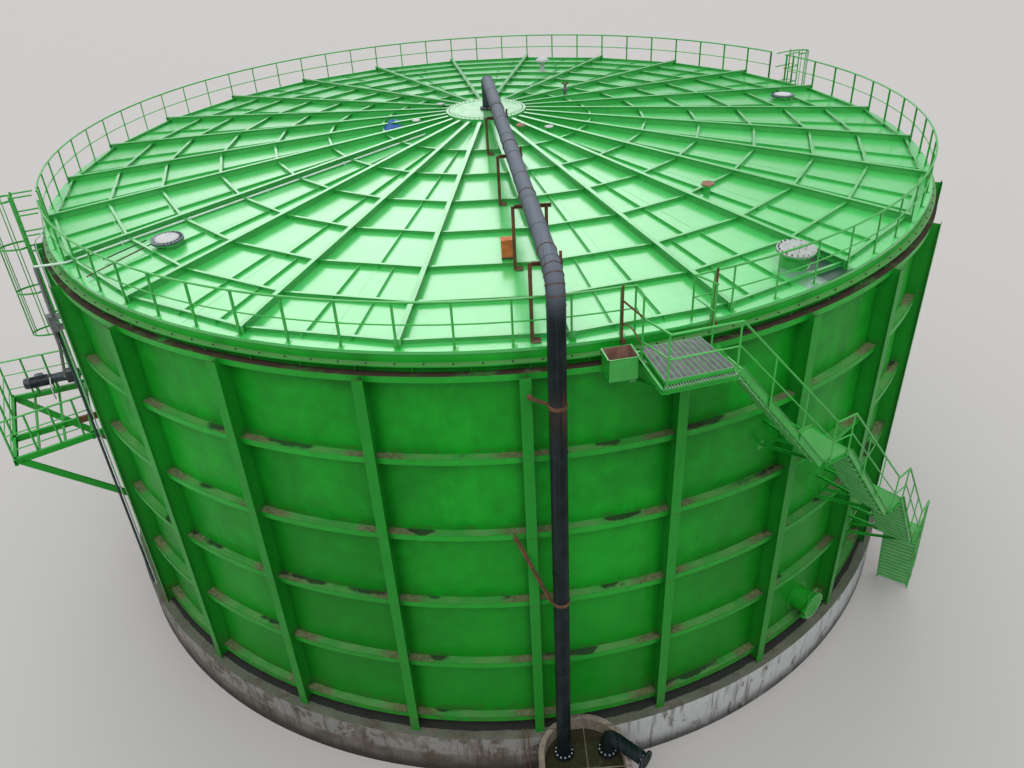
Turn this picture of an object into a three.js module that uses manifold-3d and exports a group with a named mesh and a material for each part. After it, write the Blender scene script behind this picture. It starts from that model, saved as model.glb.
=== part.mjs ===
// A covered digester tank: a round steel wall stiffened by vertical tees and ring angles, on a concrete
// plinth, under a shallow conical roof with its rafters outside. Millimetres, +Z up, the tank axis is
// the Z axis, Z = 0 is the foot of the plinth, and -Y is the side with the gas pipe.
import * as THREE from 'three';
import { mergeVertices } from 'three/addons/utils/BufferGeometryUtils.js';
import Module from 'manifold-3d';

const wasm = await Module();
wasm.setup();

// Driving dimensions
const GAP = 0.3;
const PLINTH_RADIUS = 13650;
const PLINTH_HEIGHT = 1400;
const WALL_RADIUS = 13050;
const WALL_THICKNESS = 12;
const WALL_HEIGHT = 11000;
const STIFFENER_RADIUS = 13500;
const STIFFENER_HEIGHT = 10830;
const STIFFENER_COUNT = 26;
const FIRST_STIFFENER = 1.87;
const STIFFENER_WIDTH = 230;
const RING_LEVELS = [400, 2500, 4600, 6700, 8800, 10820];
const RING_RADIUS = 13300;
const RING_DEPTH = 140;
const WALL_SEGMENTS = 4;
const ROOF_RADIUS = 13080;
const ROOF_RISE = 1060;
const ROOF_THICKNESS = 10;
const RAFTER_COUNT = 24;
const FIRST_RAFTER = 6.23;
const RAFTER_WIDTH = 110;
const RAFTER_DEPTH = 190;
const RAFTER_END = 12945;
const HUB_RADIUS = 1250;
const PURLIN_RADII = [3300, 4980, 6640, 8300, 9960, 11400, 12820];
const PURLIN_WIDTH = 70;
const PURLIN_DEPTH = 90;
const RAIL_RADIUS = 12990;
const RAIL_HEIGHT = 1010;
const RAIL_BAR = 42;
const POST_STEP = 5;
const PIPE_RADIUS = 177.5;
const STAIR_OUTER = 15050;
const STAIR_WIDTH = 950;

// Colours
const GREEN = new THREE.Color(0x1f8a2d);
const ROOF_GREEN = new THREE.Color(0x46c45a);
const CONCRETE = new THREE.Color(0x8b8378);
const PIPE_BLACK = new THREE.Color(0x23292e);
const RUST = new THREE.Color(0x7a3b22);
const ORANGE = new THREE.Color(0xc4571c);
const WHITE = new THREE.Color(0xe4e4df);
const MOTOR_BLUE = new THREE.Color(0x39424e);

const part = new THREE.Group();

// Helpers: points round the tank, closed solids and bars

const radians = THREE.MathUtils.degToRad;

function polar(radius, angle, z) {
  return new THREE.Vector3(
    radius * Math.sin(radians(angle)),
    -radius * Math.cos(radians(angle)),
    z,
  );
}

function solidOf(geometry) {
  const bare = geometry.clone();
  bare.deleteAttribute('normal');
  bare.deleteAttribute('uv');
  const merged = mergeVertices(bare, 0.01);
  return new wasm.Manifold(new wasm.Mesh({
    numProp: 3,
    vertProperties: new Float32Array(merged.attributes.position.array),
    triVerts: new Uint32Array(merged.index.array),
  }));
}

function geometryOf(solid) {
  const mesh = solid.getMesh();
  const geometry = new THREE.BufferGeometry();
  geometry.setAttribute('position', new THREE.BufferAttribute(mesh.vertProperties, 3));
  geometry.setIndex(new THREE.BufferAttribute(mesh.triVerts, 1));
  geometry.computeVertexNormals();
  return geometry;
}

function join(solids) {
  let level = solids;
  while (level.length > 1) {
    const next = [];
    for (let i = 0; i < level.length; i += 2) {
      next.push(i + 1 < level.length ? level[i].add(level[i + 1]) : level[i]);
    }
    level = next;
  }
  return level[0];
}

function addPiece(name, solid, color, roughness = 0.5, metalness = 0.3) {
  const material = new THREE.MeshStandardMaterial({ color, roughness, metalness });
  const mesh = new THREE.Mesh(geometryOf(solid), material);
  mesh.name = name;
  part.add(mesh);
}

// A turned frame: x runs to the right seen from outside, y runs inwards, z is up
function turned(geometry, angle) {
  geometry.rotateZ(radians(angle));
  return geometry;
}

// A box given by its extents in the turned frame, where radial distances are positive outwards
function radialBox(angle, side, radial, height) {
  const box = new THREE.BoxGeometry(side[1] - side[0], radial[1] - radial[0], height[1] - height[0]);
  box.translate((side[0] + side[1]) / 2, -(radial[0] + radial[1]) / 2, (height[0] + height[1]) / 2);
  return solidOf(turned(box, angle));
}

// A straight bar of a rectangular section from one point to another: its depth hangs below the line
// by `below` of the depth, 0.5 being centred
function bar(from, to, width, depth, below = 0.5) {
  const along = to.clone().sub(from);
  const length = along.length();
  const axis = along.normalize();
  const side = new THREE.Vector3().crossVectors(axis, new THREE.Vector3(0, 0, 1));
  if (side.length() < 1e-3) {
    side.set(from.y, -from.x, 0);
  }
  side.normalize();
  const up = new THREE.Vector3().crossVectors(side, axis);
  const box = new THREE.BoxGeometry(width, length, depth);
  box.translate(0, length / 2, (0.5 - below) * depth);
  box.applyMatrix4(new THREE.Matrix4().makeBasis(side, axis, up).setPosition(from));
  return solidOf(box);
}

function rod(from, to, radius, sides = 6) {
  const along = to.clone().sub(from);
  const rodGeometry = new THREE.CylinderGeometry(radius, radius, along.length(), sides);
  rodGeometry.applyQuaternion(
    new THREE.Quaternion().setFromUnitVectors(new THREE.Vector3(0, 1, 0), along.clone().normalize()),
  );
  rodGeometry.translate(...from.clone().add(to).multiplyScalar(0.5).toArray());
  return solidOf(rodGeometry);
}

// A round or many-sided pipe along straight runs, with its sections mitred at the corners
function mitredPipe(points, radius, sides = 16) {
  const runs = points.length - 1;
  const turn = sides === 4 ? Math.PI / 4 : 0;
  const reach = sides === 4 ? radius * Math.SQRT2 : radius;
  const geometry = new THREE.CylinderGeometry(reach, reach, 1, sides, runs, false, turn);
  const directions = points.slice(1).map((point, i) => point.clone().sub(points[i]).normalize());
  const frames = [new THREE.Quaternion().setFromUnitVectors(new THREE.Vector3(0, 1, 0), directions[0])];
  for (let i = 1; i < runs; i += 1) {
    const swing = new THREE.Quaternion().setFromUnitVectors(directions[i - 1], directions[i]);
    frames.push(swing.multiply(frames[i - 1]));
  }
  const position = geometry.attributes.position;
  for (let i = 0; i < position.count; i += 1) {
    const row = Math.round((position.getY(i) + 0.5) * runs);
    const run = Math.max(row - 1, 0);
    const ahead = directions[Math.min(row, runs - 1)];
    const along = directions[run];
    const offset = new THREE.Vector3(position.getX(i), 0, position.getZ(i)).applyQuaternion(frames[run]);
    const bisector = along.clone().add(ahead).normalize();
    offset.addScaledVector(along, -offset.dot(bisector) / along.dot(bisector));
    offset.add(points[row]);
    position.setXYZ(i, offset.x, offset.y, offset.z);
  }
  return solidOf(geometry);
}

// A curved plate: the plan is a ring sector with corners at the given angles
function arcPlate(inner, outer, angles, bottom, top) {
  const outline = angles.map((angle) => polar(outer, angle, 0));
  outline.push(...angles.map((angle) => polar(inner, angle, 0)).reverse());
  const plan = new THREE.Shape(outline.map((point) => new THREE.Vector2(point.x, point.y)));
  const geometry = new THREE.ExtrudeGeometry(plan, { depth: top - bottom, bevelEnabled: false });
  geometry.translate(0, 0, bottom);
  return solidOf(geometry);
}

function prism(points, bottom, top) {
  const plan = new THREE.Shape(points.map((point) => new THREE.Vector2(point.x, point.y)));
  const geometry = new THREE.ExtrudeGeometry(plan, { depth: top - bottom, bevelEnabled: false });
  geometry.translate(0, 0, bottom);
  return solidOf(geometry);
}

// A solid turned about an upright axis, from [radius, z] pairs that close on themselves or end on it
function lathe(profile, sides, center = new THREE.Vector3(), firstAngle = 0) {
  const points = profile.map(([radius, z]) => new THREE.Vector2(radius, z));
  if (THREE.ShapeUtils.isClockWise(points)) {
    points.reverse();
  }
  if (points[0].x > 0) {
    points.push(points[0].clone());
  }
  const geometry = new THREE.LatheGeometry(points, sides);
  geometry.rotateX(Math.PI / 2);
  geometry.rotateZ(radians(firstAngle));
  geometry.translate(center.x, center.y, center.z);
  return solidOf(geometry);
}

function angleSteps(from, to, steps) {
  return Array.from({ length: steps + 1 }, (_, i) => from + ((to - from) * i) / steps);
}

// Plinth

const base = PLINTH_HEIGHT;
const PLINTH_SIDES = 72;

const SUMP_LEFT = 350;
const SUMP_RIGHT = 2650;
const SUMP_FRONT = -15150;
const SUMP_ROUND_CENTER = -14200;
const SUMP_TOP = base + 40;
const SUMP_WALL = 150;
const SUMP_FLOOR = 500;

function sumpOutline(inset) {
  const left = SUMP_LEFT + inset;
  const right = SUMP_RIGHT - inset;
  const middle = (left + right) / 2;
  const radius = (right - left) / 2;
  const outline = [new THREE.Vector2(left, SUMP_FRONT + inset)];
  outline.push(new THREE.Vector2(right, SUMP_FRONT + inset));
  for (const angle of angleSteps(0, 180, 10)) {
    outline.push(new THREE.Vector2(
      middle + radius * Math.cos(radians(angle)),
      SUMP_ROUND_CENTER + radius * Math.sin(radians(angle)),
    ));
  }
  return outline;
}

const sumpShell = prism(sumpOutline(0), 0, SUMP_TOP)
  .subtract(prism(sumpOutline(SUMP_WALL), SUMP_FLOOR, SUMP_TOP + 10));
const sumpSpace = prism(sumpOutline(-GAP), -10, SUMP_TOP + 10);

const plinth = lathe([[0, 0], [PLINTH_RADIUS, 0], [PLINTH_RADIUS, base], [0, base]], PLINTH_SIDES)
  .subtract(sumpSpace);
addPiece('foundation_plinth', plinth, CONCRETE, 0.9, 0);
addPiece('pipe_sump', sumpShell, CONCRETE, 0.9, 0);

// Wall and its stiffeners, in segments that meet at a stiffener

const BAY = 360 / STIFFENER_COUNT;
const CHORDS = 2;
const wallFoot = base + GAP;

function stiffenerAngle(index) {
  return FIRST_STIFFENER + index * BAY;
}

function gapAngle(distance, radius) {
  return THREE.MathUtils.radToDeg(distance / radius);
}

function wallSegment(first, last) {
  const angles = angleSteps(stiffenerAngle(first), stiffenerAngle(last), (last - first) * CHORDS);
  angles[angles.length - 1] -= gapAngle(GAP, WALL_RADIUS - WALL_THICKNESS);
  return arcPlate(WALL_RADIUS - WALL_THICKNESS, WALL_RADIUS, angles, wallFoot, base + WALL_HEIGHT);
}

const WEB = 20;

function stiffenerTee(index) {
  const angle = stiffenerAngle(index);
  const height = [wallFoot, base + STIFFENER_HEIGHT];
  const inner = WALL_RADIUS + 2 * GAP;
  const web = radialBox(angle, [-WEB / 2, WEB / 2], [inner, STIFFENER_RADIUS - 5], height);
  const half = STIFFENER_WIDTH / 2;
  const flange = radialBox(angle, [-half, half], [STIFFENER_RADIUS - WEB, STIFFENER_RADIUS], height);
  return web.add(flange);
}

function stiffenerFrame(first, last) {
  const angles = angleSteps(stiffenerAngle(first), stiffenerAngle(last), (last - first) * CHORDS);
  angles[angles.length - 1] -= gapAngle(WEB / 2 + 2 * GAP, WALL_RADIUS);
  const inner = WALL_RADIUS + GAP;
  const pieces = [];
  for (const level of RING_LEVELS) {
    const top = base + level;
    pieces.push(arcPlate(inner, RING_RADIUS, angles, top - RING_DEPTH, top));
  }
  for (let index = first; index < last; index += 1) {
    pieces.push(stiffenerTee(index));
  }
  return join(pieces);
}

for (let segment = 0; segment < WALL_SEGMENTS; segment += 1) {
  const first = Math.round((segment * STIFFENER_COUNT) / WALL_SEGMENTS);
  const last = Math.round(((segment + 1) * STIFFENER_COUNT) / WALL_SEGMENTS);
  addPiece(`wall_segment_${segment + 1}`, wallSegment(first, last), GREEN);
  addPiece(`stiffener_frame_${segment + 1}`, stiffenerFrame(first, last), GREEN);
}

// Wall top flange, roof kerb and roof deck

const EDGE_SIDES = STIFFENER_COUNT * CHORDS;
const FLANGE_OUTER = 13220;
const FLANGE_PLATE = 16;
const KERB_TOP = base + 11250;
const flangeTop = base + WALL_HEIGHT;

const wallFlange = lathe([
  [WALL_RADIUS + GAP, flangeTop - FLANGE_PLATE],
  [FLANGE_OUTER, flangeTop - FLANGE_PLATE],
  [FLANGE_OUTER, flangeTop],
  [WALL_RADIUS + GAP, flangeTop],
], EDGE_SIDES, new THREE.Vector3(), FIRST_STIFFENER);
addPiece('wall_top_flange', wallFlange, GREEN);

const KERB_INNER = 12880;
const kerb = lathe([
  [KERB_INNER, flangeTop + GAP],
  [FLANGE_OUTER, flangeTop + GAP],
  [FLANGE_OUTER, flangeTop + FLANGE_PLATE],
  [ROOF_RADIUS, flangeTop + FLANGE_PLATE],
  [ROOF_RADIUS, KERB_TOP],
  [KERB_INNER, KERB_TOP],
], EDGE_SIDES, new THREE.Vector3(), FIRST_STIFFENER);
addPiece('roof_kerb_ring', kerb, GREEN);

const deckRim = KERB_TOP + GAP + ROOF_THICKNESS;
const roofSlope = ROOF_RISE / ROOF_RADIUS;

function roofHeight(radius) {
  return deckRim + (ROOF_RADIUS - radius) * roofSlope;
}

const deck = lathe([
  [0, roofHeight(0)],
  [ROOF_RADIUS, deckRim],
  [ROOF_RADIUS, deckRim - ROOF_THICKNESS],
  [0, roofHeight(0) - ROOF_THICKNESS],
], 72, new THREE.Vector3(), FIRST_RAFTER);
addPiece('roof_deck', deck, ROOF_GREEN);

// Clearance solids: pieces are built a little into what carries them and cut back by these

const SEAT = 30;

function clearance(outline, sides, firstAngle) {
  return lathe(outline, sides, new THREE.Vector3(), firstAngle);
}

const deckSpace = clearance([
  [0, roofHeight(0) + GAP],
  [ROOF_RADIUS + GAP, deckRim + GAP],
  [ROOF_RADIUS + GAP, deckRim - 2 * SEAT],
  [0, deckRim - 2 * SEAT],
], 72, FIRST_RAFTER);

const tankSpace = clearance([
  [0, base],
  [WALL_RADIUS + GAP, base],
  [WALL_RADIUS + GAP, flangeTop - FLANGE_PLATE - GAP],
  [FLANGE_OUTER + GAP, flangeTop - FLANGE_PLATE - GAP],
  [FLANGE_OUTER + GAP, flangeTop + FLANGE_PLATE + GAP],
  [ROOF_RADIUS + GAP, flangeTop + FLANGE_PLATE + GAP],
  [ROOF_RADIUS + GAP, KERB_TOP],
  [0, KERB_TOP],
], EDGE_SIDES, FIRST_STIFFENER);

const ringSpace = clearance([
  [0, base],
  [RING_RADIUS + 4 * GAP, base],
  [RING_RADIUS + 4 * GAP, base + RING_LEVELS.at(-1) + GAP],
  [0, base + RING_LEVELS.at(-1) + GAP],
], EDGE_SIDES, FIRST_STIFFENER);

// Rafters and purlins on top of the deck

const RAFTER_STEP = 360 / RAFTER_COUNT;
const PURLIN_CLEARANCE = 12;

function rafterAngle(index) {
  return FIRST_RAFTER + index * RAFTER_STEP;
}

function onDeck(radius, angle, lift) {
  return polar(radius, angle, roofHeight(radius) + lift);
}

function rafter(index) {
  const angle = rafterAngle(index);
  const from = onDeck(HUB_RADIUS + GAP, angle, 1);
  const to = onDeck(RAFTER_END, angle, 1);
  return bar(from, to, RAFTER_WIDTH, RAFTER_DEPTH, 0);
}

function purlin(radius, index, isLast) {
  const from = onDeck(radius, rafterAngle(index), PURLIN_CLEARANCE);
  const to = onDeck(radius, rafterAngle(index + 1), PURLIN_CLEARANCE);
  if (isLast) {
    const along = to.clone().sub(from);
    to.sub(along.normalize().multiplyScalar(RAFTER_WIDTH / 2 + 6));
  }
  return bar(from, to, PURLIN_WIDTH, PURLIN_DEPTH, 0);
}

const FRAME_SECTORS = 4;
const RAFTERS_PER_SECTOR = RAFTER_COUNT / FRAME_SECTORS;

for (let sector = 0; sector < FRAME_SECTORS; sector += 1) {
  const pieces = [];
  for (let i = 0; i < RAFTERS_PER_SECTOR; i += 1) {
    const index = sector * RAFTERS_PER_SECTOR + i;
    pieces.push(rafter(index));
    for (const radius of PURLIN_RADII) {
      pieces.push(purlin(radius, index, i === RAFTERS_PER_SECTOR - 1));
    }
  }
  addPiece(`roof_frame_${sector + 1}`, join(pieces), ROOF_GREEN);
}

// Hub plate in the middle of the roof

const hubFoot = roofHeight(HUB_RADIUS) + 5;
const hubTop = roofHeight(0) + 130;
const hub = lathe([
  [0, hubTop],
  [HUB_RADIUS, hubTop],
  [HUB_RADIUS, hubFoot],
  [HUB_RADIUS - 20, hubFoot],
  [HUB_RADIUS - 20, hubTop - 20],
  [0, hubTop - 20],
], 24, new THREE.Vector3(), FIRST_RAFTER);
addPiece('roof_hub', hub, ROOF_GREEN);

// Guard rail round the rim, in arcs that leave out the ways onto the roof

const RAIL_ARCS = [[2.6, 12], [12, 22.3], [23, 40], [40, 57.4], [58.1, 72.86]];

function railAngle(step) {
  return FIRST_RAFTER + step * POST_STEP;
}

function railArc(first, last, isJoined) {
  const half = RAIL_BAR * 0.35;
  const end = isJoined ? last - gapAngle(half + 2, RAIL_RADIUS) / POST_STEP : last;
  const corners = [first];
  for (let step = Math.floor(first) + 1; step < end; step += 1) {
    corners.push(step);
  }
  corners.push(end);
  const topRail = corners.map((step) => polar(RAIL_RADIUS, railAngle(step), deckRim + RAIL_HEIGHT));
  const pieces = [mitredPipe(topRail, RAIL_BAR / 2, 4)];
  const posts = isJoined ? corners.slice(0, -1) : corners;
  for (const step of posts) {
    pieces.push(radialBox(
      railAngle(step),
      [-half, half],
      [RAIL_RADIUS - half, RAIL_RADIUS + half],
      [deckRim - SEAT, deckRim + RAIL_HEIGHT],
    ));
  }
  return join(pieces).subtract(deckSpace);
}

RAIL_ARCS.forEach(([first, last], index) => {
  const isJoined = RAIL_ARCS.some(([other]) => other === last);
  addPiece(`guard_rail_${index + 1}`, railArc(first, last, isJoined), GREEN);
});

// Gas pipe: up from the hub, out over the rim and down to the sump, with mitred elbows

const PIPE_SIDES = 12;
const ELBOW = 320;
const hubNozzle = new THREE.Vector3(80, 0, hubTop + GAP);
const pipeHubTop = new THREE.Vector3(80, 0, base + 13330);
const RISER_X = 1020;
const RISER_Y = -13880;
const pipeRim = new THREE.Vector3(RISER_X, RISER_Y, base + 13100);
const pipeFoot = new THREE.Vector3(RISER_X, RISER_Y, base - 330);

// Three short runs take a corner round in two mitres
function softCorner(before, corner, after) {
  const back = before.clone().sub(corner).normalize().multiplyScalar(ELBOW);
  const ahead = after.clone().sub(corner).normalize().multiplyScalar(ELBOW);
  return [corner.clone().add(back), corner.clone().add(ahead)];
}

function flangeRing(center, radius, bottom, top, sides = 16) {
  return lathe([[0, bottom], [radius, bottom], [radius, top], [0, top]], sides, center);
}

const FLANGE_RADIUS = 260;
const FLANGE_THICK = 45;

const gasPipePath = [
  hubNozzle,
  ...softCorner(hubNozzle, pipeHubTop, pipeRim),
  ...softCorner(pipeHubTop, pipeRim, pipeFoot),
  pipeFoot,
];
const gasPipe = mitredPipe(gasPipePath, PIPE_RADIUS, PIPE_SIDES);
const pipeSpace = mitredPipe(gasPipePath, PIPE_RADIUS + 2 * GAP, PIPE_SIDES);
const hubFlange = flangeRing(hubNozzle.clone().setZ(0), FLANGE_RADIUS, hubTop + GAP, hubTop + FLANGE_THICK);
const footFlange = flangeRing(
  pipeFoot.clone().setZ(0),
  FLANGE_RADIUS,
  pipeFoot.z,
  pipeFoot.z + FLANGE_THICK,
);
addPiece('gas_pipe', join([gasPipe, hubFlange, footFlange]), PIPE_BLACK, 0.45, 0);

// Below the foot flange the line runs down into the sump, across, and up to the outlet elbow
const outletUp = new THREE.Vector3(2150, RISER_Y, base - 330);
const sumpRun = SUMP_FLOOR + 260;
const crossover = mitredPipe([
  pipeFoot.clone().setZ(pipeFoot.z - GAP),
  pipeFoot.clone().setZ(sumpRun),
  outletUp.clone().setZ(sumpRun),
  outletUp.clone().setZ(outletUp.z - GAP),
], PIPE_RADIUS, PIPE_SIDES);
const crossFlanges = [pipeFoot, outletUp].map((place) => flangeRing(
  place.clone().setZ(0),
  FLANGE_RADIUS,
  place.z - GAP - FLANGE_THICK,
  place.z - GAP,
));
addPiece('sump_crossover_pipe', join([crossover, ...crossFlanges]), PIPE_BLACK, 0.45, 0);

const outletCorner = outletUp.clone().setZ(base + 270);
const OUTLET_DIRECTION = new THREE.Vector3(0.72, -0.69, 0).normalize();
const outletEnd = outletCorner.clone().addScaledVector(OUTLET_DIRECTION, 1150);
const OUTLET_TIGHTENING = 0.4;
const outletElbow = mitredPipe([
  outletUp,
  ...softCorner(outletUp, outletCorner, outletEnd)
    .map((point) => point.lerp(outletCorner, OUTLET_TIGHTENING)),
  outletEnd,
], PIPE_RADIUS, PIPE_SIDES);
const outletFlange = rod(
  outletEnd.clone().addScaledVector(OUTLET_DIRECTION, -FLANGE_THICK),
  outletEnd,
  FLANGE_RADIUS,
  16,
);
const elbowFlange = flangeRing(
  outletUp.clone().setZ(0),
  FLANGE_RADIUS,
  outletUp.z,
  outletUp.z + FLANGE_THICK,
);
addPiece('gas_outlet_elbow', join([outletElbow, outletFlange, elbowFlange]), PIPE_BLACK, 0.45, 0);

// Rusty goal-post supports under the pipe on the roof

const SUPPORTS = [
  { distance: 3420, right: 250 },
  { distance: 6720, right: 250 },
  { distance: 10030, right: 460 },
  { distance: 12850, right: 250 },
];
const SUPPORT_LEG = 80;
const SADDLE = 15;
const SUPPORT_LEFT = 250;

function pipeCenter(y) {
  const share = y / pipeRim.y;
  return pipeHubTop.clone().lerp(pipeRim, share);
}

function supportLeg(x, y, top) {
  const foot = roofHeight(Math.hypot(x, y)) - SEAT;
  return bar(new THREE.Vector3(x, y, foot), new THREE.Vector3(x, y, top), SUPPORT_LEG, SUPPORT_LEG);
}

SUPPORTS.forEach(({ distance, right }, index) => {
  const center = pipeCenter(-distance);
  const top = center.z - PIPE_RADIUS + SADDLE;
  const level = (x) => new THREE.Vector3(x, -distance, top);
  const left = center.x - SUPPORT_LEFT;
  const pieces = [
    bar(
      level(left - SUPPORT_LEG / 2),
      level(center.x + right + SUPPORT_LEG / 2),
      SUPPORT_LEG,
      SUPPORT_LEG,
      1,
    ),
    supportLeg(left, -distance, top - SUPPORT_LEG / 2),
  ];
  if (right > SUPPORT_LEFT) {
    pieces.push(supportLeg(center.x + right, -distance, top - SUPPORT_LEG / 2));
  } else {
    const upright = level(center.x + right);
    pieces.push(bar(upright.clone().setZ(top - SUPPORT_LEG / 2), upright.setZ(top + PIPE_RADIUS), 60, 60));
  }
  const support = join(pieces).subtract(deckSpace).subtract(pipeSpace);
  addPiece(`pipe_support_${index + 1}`, support, RUST, 0.9, 0.1);
});

// Clamps that hold the riser to the wall

const CLAMP_HEIGHT = 80;
const CLAMP_PLATE = 22;

function clampRing(z, height) {
  const center = new THREE.Vector3(RISER_X, RISER_Y, 0);
  const outer = PIPE_RADIUS + CLAMP_PLATE;
  return lathe([[0, z], [outer, z], [outer, z + height], [0, z + height]], PIPE_SIDES, center)
    .subtract(pipeSpace);
}

const CLAMP_BAR = 50;
const clampEdge = RISER_X - PIPE_RADIUS - CLAMP_PLATE / 2;

function clampPoint(x, y, z) {
  return new THREE.Vector3(x, y, z + CLAMP_HEIGHT / 2);
}

const upperClampZ = base + 10400;
const UPPER_ARM_X = 520;
const upperClamp = join([
  clampRing(upperClampZ, CLAMP_HEIGHT),
  bar(
    clampPoint(UPPER_ARM_X, -13600, upperClampZ),
    clampPoint(clampEdge, -13830, upperClampZ),
    CLAMP_BAR,
    CLAMP_BAR,
  ),
  radialBox(
    FIRST_STIFFENER,
    [20, STIFFENER_WIDTH / 2],
    [STIFFENER_RADIUS + GAP, STIFFENER_RADIUS + 130],
    [upperClampZ + 15, upperClampZ + 65],
  ),
]);
addPiece('riser_clamp_upper', upperClamp, RUST, 0.9, 0.1);

const lowerClampZ = base + 5150;
const STRUT_BAR = 60;
const strutTop = new THREE.Vector3(80, -13412, base + 6740);
const lowerClamp = join([
  clampRing(lowerClampZ, CLAMP_HEIGHT),
  bar(
    clampPoint(clampEdge - 60, RISER_Y, lowerClampZ),
    clampPoint(clampEdge, RISER_Y, lowerClampZ),
    STRUT_BAR,
    STRUT_BAR,
  ),
  bar(strutTop, clampPoint(clampEdge - 45, RISER_Y + 15, lowerClampZ), STRUT_BAR, STRUT_BAR),
  radialBox(0.35, [-40, 40], [RING_RADIUS - SEAT, RING_RADIUS + 125], [base + 6600, base + 6690]),
  bar(strutTop.clone().setZ(base + 6630), strutTop.clone().setZ(base + 6745), 40, 40),
]);
addPiece('riser_strut', lowerClamp.subtract(ringSpace), RUST, 0.9, 0.1);

// Fittings on the roof, each square to the slope

const slopeAngle = Math.atan(roofSlope);

function onRoof(profile, radius, angle, sides = 16) {
  const points = profile.map(([r, z]) => new THREE.Vector2(r, z));
  const geometry = new THREE.LatheGeometry(points, sides);
  geometry.rotateX(Math.PI / 2);
  geometry.rotateX(slopeAngle);
  geometry.rotateZ(radians(angle));
  const seat = onDeck(radius, angle, 0);
  geometry.translate(seat.x, seat.y, seat.z);
  return solidOf(geometry).subtract(deckSpace);
}

function flangedNeck(neck, flange, height, thickness) {
  return [
    [0, -SEAT],
    [neck, -SEAT],
    [neck, height - thickness],
    [flange, height - thickness],
    [flange, height],
    [0, height],
  ];
}

const SIGHT_MANWAYS = { left: [10850, -47.4], right: [10750, 105.2] };
for (const [side, [radius, angle]] of Object.entries(SIGHT_MANWAYS)) {
  const neck = [[0, -SEAT], [310, -SEAT], [310, 160]];
  const flange = [[400, 160], [400, 200], [285, 200]];
  const glass = [[285, 225], [0, 245]];
  const profile = [...neck, ...flange, ...glass];
  addPiece(`sight_manway_${side}`, onRoof(profile, radius, angle), WHITE);
}
addPiece('roof_manway', onRoof(flangedNeck(330, 430, 400, 60), 12150, 32.6), ROOF_GREEN);
addPiece('roof_nozzle', onRoof(flangedNeck(90, 160, 330, 50), 8500, 40.2, 12), ROOF_GREEN);
addPiece('roof_vent', onRoof(
  [[0, -SEAT], [90, -SEAT], [90, 420], [240, 400], [260, 470], [120, 560], [0, 580]],
  8900,
  164.5,
  12,
), WHITE);

const boxSeat = roofHeight(9500);
const orangeBox = radialBox(1.8, [-150, 150], [9400, 9620], [boxSeat - SEAT, boxSeat + 470]);
addPiece('roof_junction_box', orangeBox.subtract(deckSpace), ORANGE, 0.7, 0);

// Open-topped box hung on the wall top, left of the stair

const BOX_ANGLE = 9.6;
const BOX_HALF = 290;
const BOX_PLATE = 8;
const boxBack = RING_RADIUS - SEAT;
const boxFront = RING_RADIUS + 480;
const boxFloor = base + 10700;
const boxRim = base + 11200;
const boxShell = radialBox(
  BOX_ANGLE,
  [-BOX_HALF, BOX_HALF],
  [boxBack, boxFront],
  [boxFloor, boxRim],
).subtract(radialBox(
  BOX_ANGLE,
  [BOX_PLATE - BOX_HALF, BOX_HALF - BOX_PLATE],
  [RING_RADIUS + BOX_PLATE, boxFront - BOX_PLATE],
  [boxFloor + BOX_PLATE, boxRim + 100],
));
addPiece('weir_box', boxShell.subtract(ringSpace).subtract(tankSpace), GREEN);

// Stair round the wall: landings, flights, rails

const STAIR_HALF = STAIR_WIDTH / 2 - 5;
const LANDING_WIDTH = 1090;
const LANDINGS = [
  {
    name: 'top',
    from: 11,
    to: 17.1,
    z: base + 11200,
    outer: 14830,
    width: 1420,
    depth: 230,
    brackets: [11.6, 16.45],
  },
  { name: 'upper', from: 26.1, to: 28.9, z: base + 8320, outer: 14990, brackets: [26.6, 28.4] },
  { name: 'middle', from: 37, to: 39.7, z: base + 5520, outer: 15050, brackets: [37.5, 39.2] },
  { name: 'lower', from: 47.2, to: 50.2, z: base + 2720, outer: 15050, brackets: [47.8, 49.6] },
].map((landing) => ({ width: LANDING_WIDTH, depth: 110, ...landing }));
const STAIR_GROUND = { from: 57.6, z: 0, outer: STAIR_OUTER };

// A landing seen from above, as a straight-edged plate between two levels
function landingPlate({ from, to, outer, width }, bottom, top, grow = 0) {
  const wide = gapAngle(grow, outer);
  const inner = outer - width - grow;
  return prism([
    polar(outer + grow, from - wide, 0),
    polar(outer + grow, to + wide, 0),
    polar(inner, to + wide, 0),
    polar(inner, from - wide, 0),
  ], bottom, top);
}

const BRACKET_BAR = 70;
const BRACE_DROP = 700;

for (const landing of LANDINGS) {
  const under = landing.z - landing.depth;
  const pieces = [landingPlate(landing, under, landing.z)];
  const wall = WALL_RADIUS - SEAT;
  for (const angle of landing.brackets) {
    pieces.push(bar(
      polar(landing.outer - 60, angle, under - 30),
      polar(wall, angle, under - 30),
      BRACKET_BAR,
      BRACKET_BAR,
    ));
    pieces.push(bar(
      polar(landing.outer - 120, angle, under - 20),
      polar(wall, angle, under - BRACE_DROP),
      BRACKET_BAR,
      BRACKET_BAR,
    ));
  }
  addPiece(`stair_landing_${landing.name}`, join(pieces).subtract(tankSpace), GREEN);
}

const RISER = 215;
const TREAD_DEPTH = 240;
const STRINGER_DEPTH = 220;
const STRINGER_WIDTH = 40;
const STAIR_CLEAR = 500;
const POST_ROOM = 60;

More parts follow.
